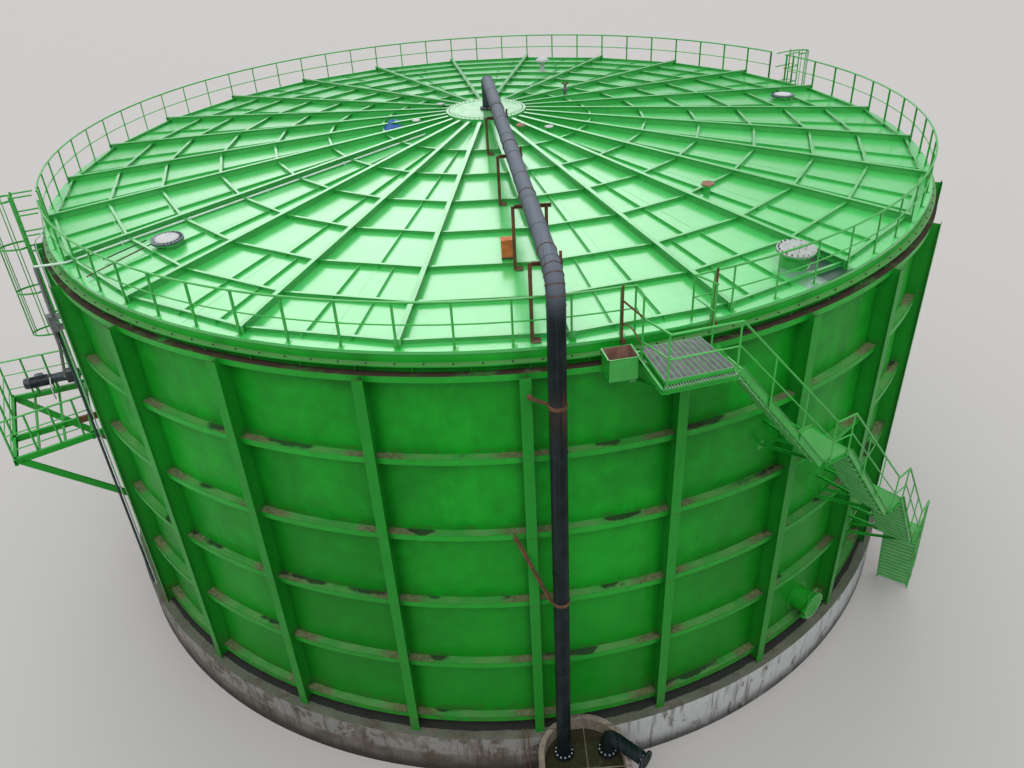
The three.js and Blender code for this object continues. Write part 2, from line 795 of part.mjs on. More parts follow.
function flight(name, start, end) {
  const from = polar(start.outer - STAIR_WIDTH / 2, start.angle, start.z);
  const to = polar(end.outer - STAIR_WIDTH / 2, end.angle, end.z);
  const along = to.clone().sub(from).setZ(0).normalize();
  const side = new THREE.Vector3(along.y, -along.x, 0);
  from.addScaledVector(along, 3);
  to.addScaledVector(along, -3);
  const pieces = [-1, 1].map((sign) => {
    const offset = side.clone().multiplyScalar(sign * (STAIR_HALF - STRINGER_WIDTH / 2));
    return bar(from.clone().add(offset), to.clone().add(offset), STRINGER_WIDTH, STRINGER_DEPTH, 0.7);
  });
  const count = Math.round((start.z - end.z) / RISER) - 1;
  for (let i = 1; i <= count; i += 1) {
    const middle = from.clone().lerp(to, i / (count + 1));
    const half = side.clone().multiplyScalar(STAIR_HALF - STRINGER_WIDTH + 2);
    pieces.push(bar(middle.clone().sub(half), middle.clone().add(half), TREAD_DEPTH, 30));
  }
  let solid = join(pieces);
  for (const landing of LANDINGS) {
    const wider = { ...landing, outer: landing.outer + POST_ROOM, width: landing.width + POST_ROOM };
    solid = solid.subtract(landingPlate(wider, landing.z - STAIR_CLEAR, landing.z + STAIR_CLEAR, GAP));
  }
  addPiece(name, solid, GREEN);
}

const FIRST_STEP = 160;
const STRINGER_DROP = 30;
const stops = [...LANDINGS, { ...STAIR_GROUND, z: STAIR_GROUND.z + FIRST_STEP }];
for (let i = 0; i + 1 < stops.length; i += 1) {
  const start = { ...stops[i], angle: stops[i].to, z: stops[i].z - STRINGER_DROP };
  const end = { ...stops[i + 1], angle: stops[i + 1].from, z: stops[i + 1].z - STRINGER_DROP };
  flight(`stair_flight_${i + 1}`, start, end);
}

// Handrails of the stair: one run of posts and rails down each side

const STAIR_RAIL_HEIGHT = 1000;
const STAIR_RAIL_BAR = 36;

const POST_HALF = STAIR_RAIL_BAR / 2;
const POST_REACH = 50;

// Each corner is the place of a post: its walking level, and how far the post reaches below it
function handrail(corners) {
  const pieces = [STAIR_RAIL_HEIGHT, STAIR_RAIL_HEIGHT / 2].map((height) => mitredPipe(
    corners.map(({ point }) => point.clone().setZ(point.z + height)),
    POST_HALF,
    4,
  ));
  for (const { point, below } of corners) {
    const foot = point.clone().setZ(point.z - below);
    const top = point.clone().setZ(point.z + STAIR_RAIL_HEIGHT);
    pieces.push(bar(foot, top, STAIR_RAIL_BAR, STAIR_RAIL_BAR));
  }
  return join(pieces);
}

// A post against the straight outer edge of a landing
function edgePost({ from, to, z, outer }, angle) {
  const middle = (from + to) / 2;
  const nearest = Math.abs(angle - middle) + gapAngle(POST_HALF, outer);
  const edge = (outer * Math.cos(radians((to - from) / 2))) / Math.cos(radians(nearest));
  return { point: polar(edge + POST_HALF + 2 * GAP, angle, z), below: POST_REACH };
}

// The first post stands further in on the top landing and is taller, so that the rail climbs to the roof
const POST_INSET = 0.4;
const FIRST_POST_RADIUS = 13800;
const FIRST_POST_LIFT = 220;
const topLanding = LANDINGS[0];
const outerCorners = [{
  point: polar(FIRST_POST_RADIUS, topLanding.from + POST_INSET, topLanding.z + FIRST_POST_LIFT),
  below: FIRST_POST_LIFT - GAP,
}];
for (const landing of LANDINGS) {
  outerCorners.push(edgePost(landing, landing.from + POST_INSET));
  outerCorners.push(edgePost(landing, landing.to - POST_INSET));
}
outerCorners.push({ point: polar(STAIR_OUTER + POST_HALF, STAIR_GROUND.from - POST_INSET, 0), below: 0 });
addPiece('stair_outer_rail', handrail(outerCorners), GREEN);

// Working platform on brackets, halfway up the left side, with the mixer drive on it

const PLATFORM = { from: -71.4, to: -57.5, outer: 15750, z: base + 6000 };
const PLATFORM_BEAM = { width: 100, depth: 180 };
const JOIST_BAR = 80;
const BRACE_FOOT = 2700;
const farBeam = PLATFORM.from + 0.4;
const middleBeam = -62.2;
const nearBeam = PLATFORM.to - 0.4;
const wallSeat = WALL_RADIUS - SEAT;

function platformPoint(radius, angle, drop = 0) {
  return polar(radius, angle, PLATFORM.z - drop);
}

// An open frame: beams out from the wall, and beams and joists across them
const platformPieces = [farBeam, middleBeam, nearBeam].map((angle) => bar(
  platformPoint(wallSeat, angle),
  platformPoint(PLATFORM.outer - 60, angle),
  PLATFORM_BEAM.width,
  PLATFORM_BEAM.depth,
  1,
));
const LADDER_BEAM_RADIUS = 13700;
for (const radius of [LADDER_BEAM_RADIUS, PLATFORM.outer - 50]) {
  platformPieces.push(bar(
    platformPoint(radius, farBeam),
    platformPoint(radius, nearBeam),
    PLATFORM_BEAM.width,
    PLATFORM_BEAM.depth,
    1,
  ));
}
const JOIST_RADII = [14380, 15050];
for (const radius of JOIST_RADII) {
  const from = platformPoint(radius, farBeam);
  const to = platformPoint(radius, nearBeam);
  platformPieces.push(bar(from, to, JOIST_BAR, JOIST_BAR, 1));
}
for (const angle of [farBeam, nearBeam]) {
  platformPieces.push(bar(
    platformPoint(PLATFORM.outer - 180, angle, 120),
    platformPoint(wallSeat, angle, BRACE_FOOT),
    PLATFORM_BEAM.width,
    PLATFORM_BEAM.depth,
  ));
}
addPiece('mixer_platform', join(platformPieces).subtract(tankSpace), GREEN);

const PLATFORM_RAIL_HEIGHTS = [1200, 725, 250];
const railEdge = PLATFORM.outer - 50;
const railSides = [13900, 14500, 15100];
const platformRailPath = [
  ...railSides.map((radius) => [radius, nearBeam]),
  [railEdge, nearBeam],
  [railEdge, farBeam],
  ...railSides.toReversed().map((radius) => [radius, farBeam]),
];
const platformRail = PLATFORM_RAIL_HEIGHTS.map((height) => mitredPipe(
  platformRailPath.map(([radius, angle]) => platformPoint(radius, angle, -height)),
  RAIL_BAR / 2,
  4,
));
for (const [radius, angle] of platformRailPath) {
  platformRail.push(rod(
    platformPoint(radius, angle, -2 * GAP),
    platformPoint(radius, angle, -PLATFORM_RAIL_HEIGHTS[0]),
    RAIL_BAR / 2,
    4,
  ));
}
addPiece('platform_rail', join(platformRail), GREEN);

const MIXER_ANGLE = -70;
const mixerZ = PLATFORM.z + 450;
const mixer = join([
  rod(polar(WALL_RADIUS - SEAT, MIXER_ANGLE, mixerZ), polar(13800, MIXER_ANGLE, mixerZ), 90, 8),
  rod(polar(13700, MIXER_ANGLE, mixerZ), polar(14150, MIXER_ANGLE, mixerZ), 200, 12),
  rod(polar(14140, MIXER_ANGLE, mixerZ), polar(15200, MIXER_ANGLE, mixerZ), 170, 12),
  radialBox(MIXER_ANGLE, [-90, 90], [14300, 14950], [PLATFORM.z + 60, mixerZ - 100]),
  radialBox(MIXER_ANGLE, [-60, 60], [14250, 15100], [PLATFORM.z + 2 * GAP, PLATFORM.z + 100]),
]);
addPiece('mixer_drive', mixer.subtract(tankSpace), MOTOR_BLUE, 0.5, 0.4);

// Caged ladders: from the platform to the rim on the left, and from the ground at the back

const RUNG_STEP = 300;
const STILE_HALF = 225;
const STILE_WIDTH = 20;
const STILE_DEPTH = 40;
const FIRST_RUNG = 250;
const RUNG_BAR = 24;
const CAGE_DEPTH = 700;
const HOOP_STEP = 2200;
const LADDER_TOP = deckRim + RAIL_HEIGHT;

// Two stiles and the rungs between them, cut as one flat frame
function ladderFrame(angle, radius, bottom, top) {
  const outer = STILE_HALF + STILE_WIDTH / 2;
  const inner = STILE_HALF - STILE_WIDTH / 2;
  const corner = (x, z) => new THREE.Vector2(x, z);
  const rectangle = (half, low, high) => [
    corner(-half, low), corner(half, low), corner(half, high), corner(-half, high),
  ];
  const outline = [];
  outline.push(corner(-outer, bottom), corner(-inner, bottom), corner(-inner, bottom + FIRST_RUNG));
  outline.push(corner(inner, bottom + FIRST_RUNG), corner(inner, bottom), corner(outer, bottom));
  const rungs = Math.floor((top - bottom - FIRST_RUNG - 2 * RUNG_BAR) / RUNG_STEP);
  const last = bottom + FIRST_RUNG + rungs * RUNG_STEP + RUNG_BAR;
  outline.push(corner(outer, top), corner(inner, top), corner(inner, last));
  outline.push(corner(-inner, last), corner(-inner, top), corner(-outer, top));
  const plan = new THREE.Shape(outline);
  for (let i = 0; i < rungs; i += 1) {
    const low = bottom + FIRST_RUNG + i * RUNG_STEP + RUNG_BAR;
    plan.holes.push(new THREE.Path(rectangle(inner, low, low + RUNG_STEP - RUNG_BAR)));
  }
  const frame = new THREE.ExtrudeGeometry(plan, { depth: STILE_DEPTH, bevelEnabled: false });
  frame.rotateX(Math.PI / 2);
  frame.translate(0, STILE_DEPTH / 2 - radius, 0);
  return solidOf(turned(frame, angle));
}

function ladder(angle, radius, bottom, cageFrom) {
  const top = LADDER_TOP;
  const center = polar(radius, angle, 0);
  const right = new THREE.Vector3(Math.cos(radians(angle)), Math.sin(radians(angle)), 0);
  const out = polar(1, angle, 0);
  const at = (side, outwards, z) => center.clone().addScaledVector(right, side)
    .addScaledVector(out, outwards).setZ(z);
  const pieces = [ladderFrame(angle, radius, bottom, top)];
  const arc = angleSteps(0, 180, 4).map((turn) => [
    Math.cos(radians(turn)) * (STILE_HALF + 100) * (turn === 0 || turn === 180 ? 0.7 : 1),
    Math.sin(radians(turn)) * CAGE_DEPTH,
  ]);
  const hoopCount = Math.max(1, Math.round((top - 100 - cageFrom) / HOOP_STEP));
  for (const z of angleSteps(cageFrom, top - 100, hoopCount)) {
    pieces.push(mitredPipe(arc.map(([side, outwards]) => at(side, outwards, z)), 25, 4));
  }
  for (const [side, outwards] of arc.slice(1, -1)) {
    pieces.push(bar(at(side, outwards, cageFrom - 30), at(side, outwards, top - 70), 50, 16));
  }
  for (const level of RING_LEVELS.filter((height) => base + height > bottom + 500)) {
    const z = base + level - RING_DEPTH / 2;
    for (const sign of [-1, 1]) {
      const reach = radius - RING_RADIUS + SEAT;
      pieces.push(bar(at(sign * STILE_HALF, 0, z), at(sign * STILE_HALF, -reach, z), 30, 50));
    }
  }
  pieces.push(radialBox(
    angle,
    [-STILE_HALF, STILE_HALF],
    [ROOF_RADIUS - 2 * SEAT, radius],
    [KERB_TOP - 60, KERB_TOP - 20],
  ));
  return join(pieces).subtract(ringSpace).subtract(tankSpace);
}

addPiece('left_caged_ladder', ladder(-67.3, 13640, PLATFORM.z + 2 * GAP, PLATFORM.z + 2300), GREEN);
addPiece('back_caged_ladder', ladder(119.5, 13850, 0, 2500), GREEN);

// Manway low in the wall, with a blind cover

const MANWAY_ANGLE = 38;
const MANWAY_FACE = 13600;
const MANWAY_FLANGE = 420;
const manwayZ = base + 950;
const manway = rod(
  polar(WALL_RADIUS - SEAT, MANWAY_ANGLE, manwayZ),
  polar(MANWAY_FACE, MANWAY_ANGLE, manwayZ),
  330,
  16,
).add(rod(
  polar(MANWAY_FACE - 40, MANWAY_ANGLE, manwayZ),
  polar(MANWAY_FACE, MANWAY_ANGLE, manwayZ),
  MANWAY_FLANGE,
  16,
));
addPiece('wall_manway', manway.subtract(tankSpace), GREEN);
const cover = rod(
  polar(MANWAY_FACE + GAP, MANWAY_ANGLE, manwayZ),
  polar(MANWAY_FACE + 40, MANWAY_ANGLE, manwayZ),
  MANWAY_FLANGE,
  16,
);
addPiece('wall_manway_cover', cover, GREEN);

export default part;
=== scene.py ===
# %% [markdown]
# # A biogas digester
# A round steel tank, 26 m across and 11 m high, stands on a concrete plinth under a low conical roof.
# Everything that gives it its look is on the outside: tees and ring angles round the wall, rafters on
# the roof, a black gas pipe, a stair that winds round the wall, a mixer on a side platform. The packed
# CAD model is loaded as a fixed frame, and each step dresses or replaces some of its solids, in metres
# and in the same place. Angles are measured from the front, -Y, towards +X.

# %% Load the frame
import math
import bpy
from mathutils import Matrix, Vector


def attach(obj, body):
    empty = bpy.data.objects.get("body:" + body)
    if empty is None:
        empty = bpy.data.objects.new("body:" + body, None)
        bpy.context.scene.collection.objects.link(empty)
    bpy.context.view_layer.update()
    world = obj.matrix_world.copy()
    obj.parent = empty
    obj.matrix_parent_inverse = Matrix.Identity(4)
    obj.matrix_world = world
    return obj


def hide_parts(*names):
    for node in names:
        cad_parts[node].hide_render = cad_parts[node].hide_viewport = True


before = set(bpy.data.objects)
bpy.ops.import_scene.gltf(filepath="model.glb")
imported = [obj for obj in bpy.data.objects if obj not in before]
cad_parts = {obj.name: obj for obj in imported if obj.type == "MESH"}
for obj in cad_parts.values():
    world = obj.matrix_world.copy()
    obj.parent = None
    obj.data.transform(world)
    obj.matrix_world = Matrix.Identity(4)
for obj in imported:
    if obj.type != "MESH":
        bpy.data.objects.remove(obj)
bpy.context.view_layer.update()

# %% [markdown]
# ## The viewpoint
# The photograph looks down on the roof from a neighbouring tank, so the camera is 20.7 m up and 27 m
# from the axis. Its turn is built from three axes: where it looks, its right and its up, with the small
# tilt of a hand-held shot.

# %% Camera
scene = bpy.context.scene
CAMERA_PLACE = (0, -26.98, 20.72)
LENS, SENSOR_WIDTH = 29.52, 36
PITCH, YAW, ROLL = math.radians(32.51), math.radians(0.78), math.radians(-3.0)
looking = Vector((math.sin(YAW) * math.cos(PITCH), math.cos(YAW) * math.cos(PITCH), -math.sin(PITCH)))
level_right = looking.cross(Vector((0, 0, 1))).normalized()
level_up = level_right.cross(looking)
right = level_right * math.cos(ROLL) + level_up * math.sin(ROLL)
up = level_up * math.cos(ROLL) - level_right * math.sin(ROLL)
viewpoint_data = bpy.data.cameras.new("viewpoint")
viewpoint_data.sensor_width = SENSOR_WIDTH
viewpoint_data.lens = LENS
viewpoint_data.clip_end = 900
viewpoint = bpy.data.objects.new("viewpoint", viewpoint_data)
scene.collection.objects.link(viewpoint)
camera_axes = Matrix((right, up, -looking)).transposed()
viewpoint.matrix_world = Matrix.Translation(CAMERA_PLACE) @ camera_axes.to_4x4()
scene.camera = viewpoint
print("camera looks along", tuple(round(v, 3) for v in looking))

# %% [markdown]
# ## Light
# The day was overcast: light comes from the whole sky, so edges are soft. The roof paint is glossy and
# mirrors the brighter sky behind the tank, which is what turns its green to mint. So the world is dim at
# the horizon, brighter overhead and brightest low at the back, like one wide softbox. One very soft lamp
# gives a hint of direction on the wall.

# %% World and lamp
scene.view_settings.view_transform = "Standard"
world = bpy.data.worlds.new("overcast")
scene.world = world
world.use_nodes = True
sky = world.node_tree
SOFTBOX_WAY = (-0.10, 0.80, 0.59)
SOFTBOX_GAIN = 2.0
SOFTBOX_EDGE, SOFTBOX_MIDDLE = 0.87, 0.99
HORIZON_LIGHT, OVERHEAD_LIGHT, OVERHEAD_FROM = 0.38, 1.12, 0.8
SMOOTH = {"interpolation_type": "SMOOTHSTEP"}


def sky_node(kind, settings, *inputs):
    made = sky.nodes.new(kind)
    for key, value in settings.items():
        setattr(made, key, value)
    for index, value in enumerate(inputs):
        if isinstance(value, bpy.types.NodeSocket):
            sky.links.new(value, made.inputs[index])
        elif value is not None:
            made.inputs[index].default_value = value
    return made


sky_way = sky_node("ShaderNodeTexCoord", {}).outputs["Generated"]
sky_height = sky_node("ShaderNodeSeparateXYZ", {}, sky_way).outputs["Z"]
overhead = sky_node(
    "ShaderNodeMapRange", SMOOTH, sky_height, 0.0, OVERHEAD_FROM, HORIZON_LIGHT, OVERHEAD_LIGHT)
dot_product = {"operation": "DOT_PRODUCT"}
towards_box = sky_node("ShaderNodeVectorMath", dot_product, sky_way, SOFTBOX_WAY).outputs["Value"]
softbox = sky_node(
    "ShaderNodeMapRange", SMOOTH, towards_box, SOFTBOX_EDGE, SOFTBOX_MIDDLE, 0.0, SOFTBOX_GAIN)
sky_light = sky_node("ShaderNodeMath", {"operation": "ADD"}, overhead.outputs[0], softbox.outputs[0])
background = sky.nodes["Background"]
background.inputs["Color"].default_value = (0.96, 0.98, 1.0, 1)
sky.links.new(sky_light.outputs[0], background.inputs["Strength"])

lamp_data = bpy.data.lights.new("soft_lamp", "SUN")
lamp_data.energy = 1.0
lamp_data.angle = math.radians(35)
lamp = bpy.data.objects.new("soft_lamp", lamp_data)
lamp.rotation_euler = (math.radians(34), math.radians(12), math.radians(-20))
scene.collection.objects.link(lamp)
print("softbox gain:", SOFTBOX_GAIN, "lamp:", lamp_data.energy)

# %% [markdown]
# ## Writing finishes as sums
# A finish is a node tree, but it is easier to read as arithmetic. `Field` wraps one socket, and sums,
# products and comparisons of fields add the Math nodes. `Finish` owns a material and has one method for
# every other node. All patterns read Object coordinates, so they stay where they are from any side.

# %% Fields and finishes
class Field:
    """A number that changes over a surface."""

    def __init__(self, finish, socket):
        self.finish = finish
        self.socket = socket

    def math(self, operation, *others):
        inputs = {0: self, **dict(enumerate(others, 1))}
        return self.finish.node("ShaderNodeMath", {"operation": operation}, inputs)

    def reflected(self, operation, other):
        return self.finish.node("ShaderNodeMath", {"operation": operation}, {0: other, 1: self})

    def __add__(self, other):
        return self.math("ADD", other)

    def __sub__(self, other):
        return self.math("SUBTRACT", other)

    def __mul__(self, other):
        return self.math("MULTIPLY", other)

    def __lt__(self, other):
        return self.math("LESS_THAN", other)

    def __mod__(self, other):
        return self.math("FLOORED_MODULO", other)

    def __rsub__(self, other):
        return self.reflected("SUBTRACT", other)

    __radd__ = __add__
    __rmul__ = __mul__

    def abs(self):
        return self.math("ABSOLUTE")

    def rise(self, low, high):
        """0 below low, 1 above high, smooth between. With low above high it falls instead."""
        return self.finish.node(
            "ShaderNodeMapRange",
            {"interpolation_type": "SMOOTHSTEP", "clamp": True},
            {"Value": self, "From Min": low, "From Max": high},
        )


class Finish:
    """A material with a Principled shader, written node by node."""

    def __init__(self, name):
        self.material = bpy.data.materials.new(name)
        self.material.use_nodes = True
        self.nodes = self.material.node_tree.nodes
        self.links = self.material.node_tree.links
        self.shader = self.nodes["Principled BSDF"]
        place = self.node("ShaderNodeTexCoord", out="Object")
        self.place = place.socket
        axes = [self.node("ShaderNodeSeparateXYZ", inputs={0: place}, out=i) for i in range(3)]
        self.x, self.y, self.z = axes
        normal = self.node("ShaderNodeNewGeometry", out="Normal")
        self.facing = self.node("ShaderNodeSeparateXYZ", inputs={0: normal}, out=2)
        self.radius = (self.x * self.x + self.y * self.y).math("SQRT")
        self.turn = self.x.math("ARCTAN2", self.y * -1.0) * (180 / math.pi)

    def node(self, kind, settings=None, inputs=None, out=0):
        made = self.nodes.new(kind)
        for key, value in (settings or {}).items():
            setattr(made, key, value)
        for key, value in (inputs or {}).items():
            self.feed(made.inputs[key], value)
        return Field(self, made.outputs[out])

    def feed(self, socket, value):
        if isinstance(value, Field):
            self.links.new(value.socket, socket)
        elif isinstance(value, tuple) and socket.type == "RGBA" and len(value) == 3:
            socket.default_value = (*value, 1)
        else:
            socket.default_value = value

    def noise(self, scale, detail=4.0, stretch=(1, 1, 1), rough=0.55, shift=0.0):
        moved = {0: Field(self, self.place), "Location": (shift, shift, shift), "Scale": stretch}
        spread = self.node("ShaderNodeMapping", inputs=moved)
        settings = {"Vector": spread, "Scale": scale, "Detail": detail, "Roughness": rough}
        return self.node("ShaderNodeTexNoise", inputs=settings)

    def mix(self, amount, first, second):
        """first where amount is 0, second where it is 1."""
        made = self.nodes.new("ShaderNodeMix")
        made.data_type = "RGBA"
        for index, value in ((0, amount), (6, first), (7, second)):
            self.feed(made.inputs[index], value)
        return Field(self, made.outputs[2])

    def done(self, colour, roughness=0.5, height=None, strength=0.3, distance=0.01, **constants):
        self.feed(self.shader.inputs["Base Color"], colour)
        self.feed(self.shader.inputs["Roughness"], roughness)
        if height is not None:
            settings = {"Height": height, "Strength": strength, "Distance": distance}
            bump = self.node("ShaderNodeBump", inputs=settings)
            self.feed(self.shader.inputs["Normal"], bump)
        for key, value in constants.items():
            self.feed(self.shader.inputs[key.replace("_", " ").title().replace("Ior", "IOR")], value)
        return self.material


print("finishes are ready to be written")

# %% [markdown]
# ## Green enamel, weathered
# One gloss enamel covers the steel. On the wall, rain carries dust and rust down from every ring, so
# stains start under a ring and fade in long streaks; their dark green also paints the shade under each
# ring. Painted shade darkens the wall beside each tee, and turns it nearly black, with dirt, under the
# lowest ring. Dust and mud lie on the shelves, most of it beside the tees, and a few puddles stand behind
# the lip. The rings sit 2.1 m apart, so the remainder of height over 2.1 says how far a spot is above the
# last one.

# %% Tank enamel
PLINTH_TOP = 1.4
RING_PITCH = 2.1
TEES = 26
BAY = 360 / TEES
FIRST_STIFFENER = 1.87
TOP_RING = PLINTH_TOP + 10.82


def tank_enamel(name, base, dark, gloss=0.36, specular=0.2, foot_dirt_and_shade=1.0):
    f = Finish(name)
    above_ring = (f.z - (PLINTH_TOP + 0.4)) % RING_PITCH
    below_ring = RING_PITCH - above_ring
    into_bay = (f.turn - FIRST_STIFFENER) % BAY
    from_middle = (into_bay - BAY / 2).abs()
    streaks = f.noise(7.0, 5.0, (1, 1, 0.035), 0.6)
    fine = f.noise(26.0, 3.0, (1, 1, 0.06), 0.6, 4.0)
    clouds = f.noise(0.28, 3.0, (1, 1, 0.6))
    mottle = f.noise(2.3, 6.0)
    colour = f.mix((clouds * 0.65 + mottle * 0.30 + streaks * 0.10).rise(0.36, 0.70), dark, base)
    colour = f.mix(f.z.rise(9.5, 2.0) * 0.6, colour, (dark[0] * 1.2, dark[1] * 0.72, dark[2] * 0.6))
    # Painted shade: the wall is darkened beside each tee, where the tee shades it.
    shade_by_tee = from_middle.rise(BAY / 2 - 1.3, BAY / 2 - 0.2)
    colour = f.mix(shade_by_tee * 0.4, colour, tuple(v * 0.55 for v in dark))
    # Dark green streaks under each ring: rain stains, and painted shade under the ring.
    drips_and_shade = below_ring.rise(1.3, 0.1) * (streaks * 0.6 + fine * 0.5).rise(0.54, 0.74)
    colour = f.mix(drips_and_shade * 0.22, colour, (0.02, 0.085, 0.015))
    splash = above_ring.rise(0.16, 0.0) * f.noise(5.0, 5.0, shift=9.0).rise(0.42, 0.62)
    colour = f.mix(splash * 0.5, colour, (0.05, 0.085, 0.03))
    # Painted shade, with dirt: the wall under the lowest ring is turned nearly black.
    foot = f.z.rise(PLINTH_TOP + 0.32, PLINTH_TOP + 0.2) * foot_dirt_and_shade
    grime = f.z.rise(PLINTH_TOP + 0.9, PLINTH_TOP + 0.4) * f.noise(3.5, 6.0, shift=2.0).rise(0.38, 0.66)
    colour = f.mix(grime * 0.45, colour, (0.05, 0.06, 0.025))
    colour = f.mix(foot * 0.93, colour, (0.012, 0.012, 0.009))
    rust = f.noise(3.2, 8.0, (1, 1, 0.55), 0.7, 5.0).rise(0.72, 0.78)
    colour = f.mix(rust * 0.75, colour, (0.13, 0.06, 0.02))
    level = f.facing.rise(0.75, 0.95)
    shelf = level * above_ring.rise(1.94, 1.97)
    patches = f.noise(1.4, 6.0, shift=7.0, rough=0.6)
    dust = f.mix(patches.rise(0.35, 0.65), (0.045, 0.26, 0.050), (0.12, 0.28, 0.090))
    colour = f.mix(shelf * 0.75, colour, dust)
    brown = shelf * (from_middle.rise(1.5, BAY / 2 - 0.6) + patches).rise(0.75, 1.35)
    soil = f.mix(f.noise(11.0, 5.0, shift=3.0).rise(0.35, 0.7), (0.10, 0.075, 0.045), (0.20, 0.165, 0.10))
    colour = f.mix(brown * 0.75, colour, soil)
    over_low = f.z.rise(TOP_RING - 0.17, TOP_RING - 0.07)
    top_shelf = shelf * over_low * f.z.rise(TOP_RING + 0.13, TOP_RING + 0.06)
    colour = f.mix(top_shelf * patches.rise(0.25, 0.5), colour, (0.050, 0.034, 0.022))
    rim_dust = f.z.rise(TOP_RING + 0.14, TOP_RING + 0.18) * level
    colour = f.mix(rim_dust * 0.6, colour, (0.14, 0.24, 0.11))
    hollows = f.noise(0.75, 2.0, rough=0.4, shift=13.0) + f.noise(5.0, 5.0, shift=4.0) * 0.16
    puddle = (hollows + f.radius.rise(13.30, 13.08) * 0.12).rise(0.75, 0.82)
    wet = shelf * puddle * f.z.rise(11.0, 10.0)
    colour = f.mix(wet * 0.85, colour, (0.020, 0.022, 0.018))
    matt = shelf * 0.45 + rust * 0.3 + drips_and_shade * 0.15 + foot * 0.5
    rough = (matt + mottle * 0.12 + gloss) * (1.0 - wet) + wet * 0.05
    seam = (above_ring - 1.05).abs() < 0.006
    height = clouds * 1.6 + f.noise(0.9, 2.0, shift=1.0) * 0.9 + mottle * 0.04 + seam * 0.03 + rust * 0.05
    return f.done(colour, rough, height, 0.25, 0.03, specular_ior_level=specular)


wall_green = tank_enamel("wall_green", (0.008, 0.375, 0.020), (0.004, 0.200, 0.009))
steel_green = tank_enamel("steel_green", (0.012, 0.390, 0.026), (0.008, 0.270, 0.017), 0.34, 0.28, 0.0)
print("tank enamels:", wall_green.name, steel_green.name)

# %% [markdown]
# ## Roof and rail enamel
# The roof has a thick clear gloss, so it mirrors the sky and, beside each bar, the bar's own green web.
# Between the bars the thin sheet bulges a little, and by the roof manway a pool stands, grey, with a
# near-black matt patch in its right half. Rust sits in specks where something was welded. The rails and
# the stair have the same green with less gloss.

# %% Roof and rail enamel
def roof_enamel(name, base, dull, gloss=0.32, clear=1.0, soft=0.20, bulge=1.0, pool=False):
    f = Finish(name)
    clouds = f.noise(0.5, 4.0)
    mottle = f.noise(4.0, 6.0, shift=2.0)
    dust = f.noise(1.3, 7.0, rough=0.7, shift=5.0)
    colour = f.mix((clouds * 0.6 + mottle * 0.4).rise(0.36, 0.66), dull, base)
    colour = f.mix(dust.rise(0.55, 0.85) * 0.15, colour, (0.25, 0.46, 0.27))
    specks = f.noise(9.0, 8.0, rough=0.75, shift=8.0).rise(0.74, 0.78)
    colour = f.mix(specks * 0.7, colour, (0.16, 0.10, 0.04))
    centre = f.radius.rise(2.0, 0.5) * f.noise(3.0, 6.0, shift=11.0).rise(0.35, 0.6)
    colour = f.mix(centre * 0.3, colour, (0.50, 0.66, 0.52))
    rough = gloss + dust.rise(0.4, 0.8) * 0.12 + specks * 0.4
    if pool:
        edge = f.noise(1.1, 5.0, shift=17.0) - 0.5
        stood = (f.radius + edge * 0.8).rise(11.95, 12.10) * f.turn.rise(29.6, 30.2) * f.turn.rise(36.9, 36.4)
        # A near-black patch in the right half of the pool, which also loses most of its clear coat.
        black = stood * (f.turn + edge * 4.0).rise(32.3, 33.2)
        colour = f.mix(stood * 0.75, colour, (0.17, 0.25, 0.22))
        colour = f.mix(black * 0.95, colour, (0.012, 0.050, 0.030))
        clear = clear - black * 0.9
    height = f.noise(0.8, 2.0, shift=6.0) * bulge + mottle * 0.02 + specks * 0.08
    return f.done(colour, rough, height, 0.22, 0.02, coat_weight=clear, coat_roughness=soft, coat_ior=1.65)


deck_green = roof_enamel("deck_green", (0.055, 0.53, 0.110), (0.040, 0.47, 0.080), pool=True)
rafter_green = roof_enamel("rafter_green", (0.045, 0.44, 0.080), (0.030, 0.38, 0.055), 0.30, 0.8, 0.12, 0.2)
rail_green = roof_enamel("rail_green", (0.022, 0.40, 0.040), (0.014, 0.30, 0.026), 0.34, 0.35, 0.15, 0.0)
plate_green = roof_enamel("plate_green", (0.105, 0.45, 0.115), (0.080, 0.38, 0.085), 0.5, 0.2, 0.3, 0.0)
print("roof enamels:", deck_green.name, rafter_green.name, rail_green.name, plate_green.name)

# %% [markdown]
# ## Concrete, pipe, rust and small finishes
# The plinth is rough concrete, whitewashed on the right and black with damp at the foot. The gas pipe
# is dark polymer with faint lines along it, grey with dust where it lies on the roof. The bare supports
# are rusty all over. Each gets its own small recipe.

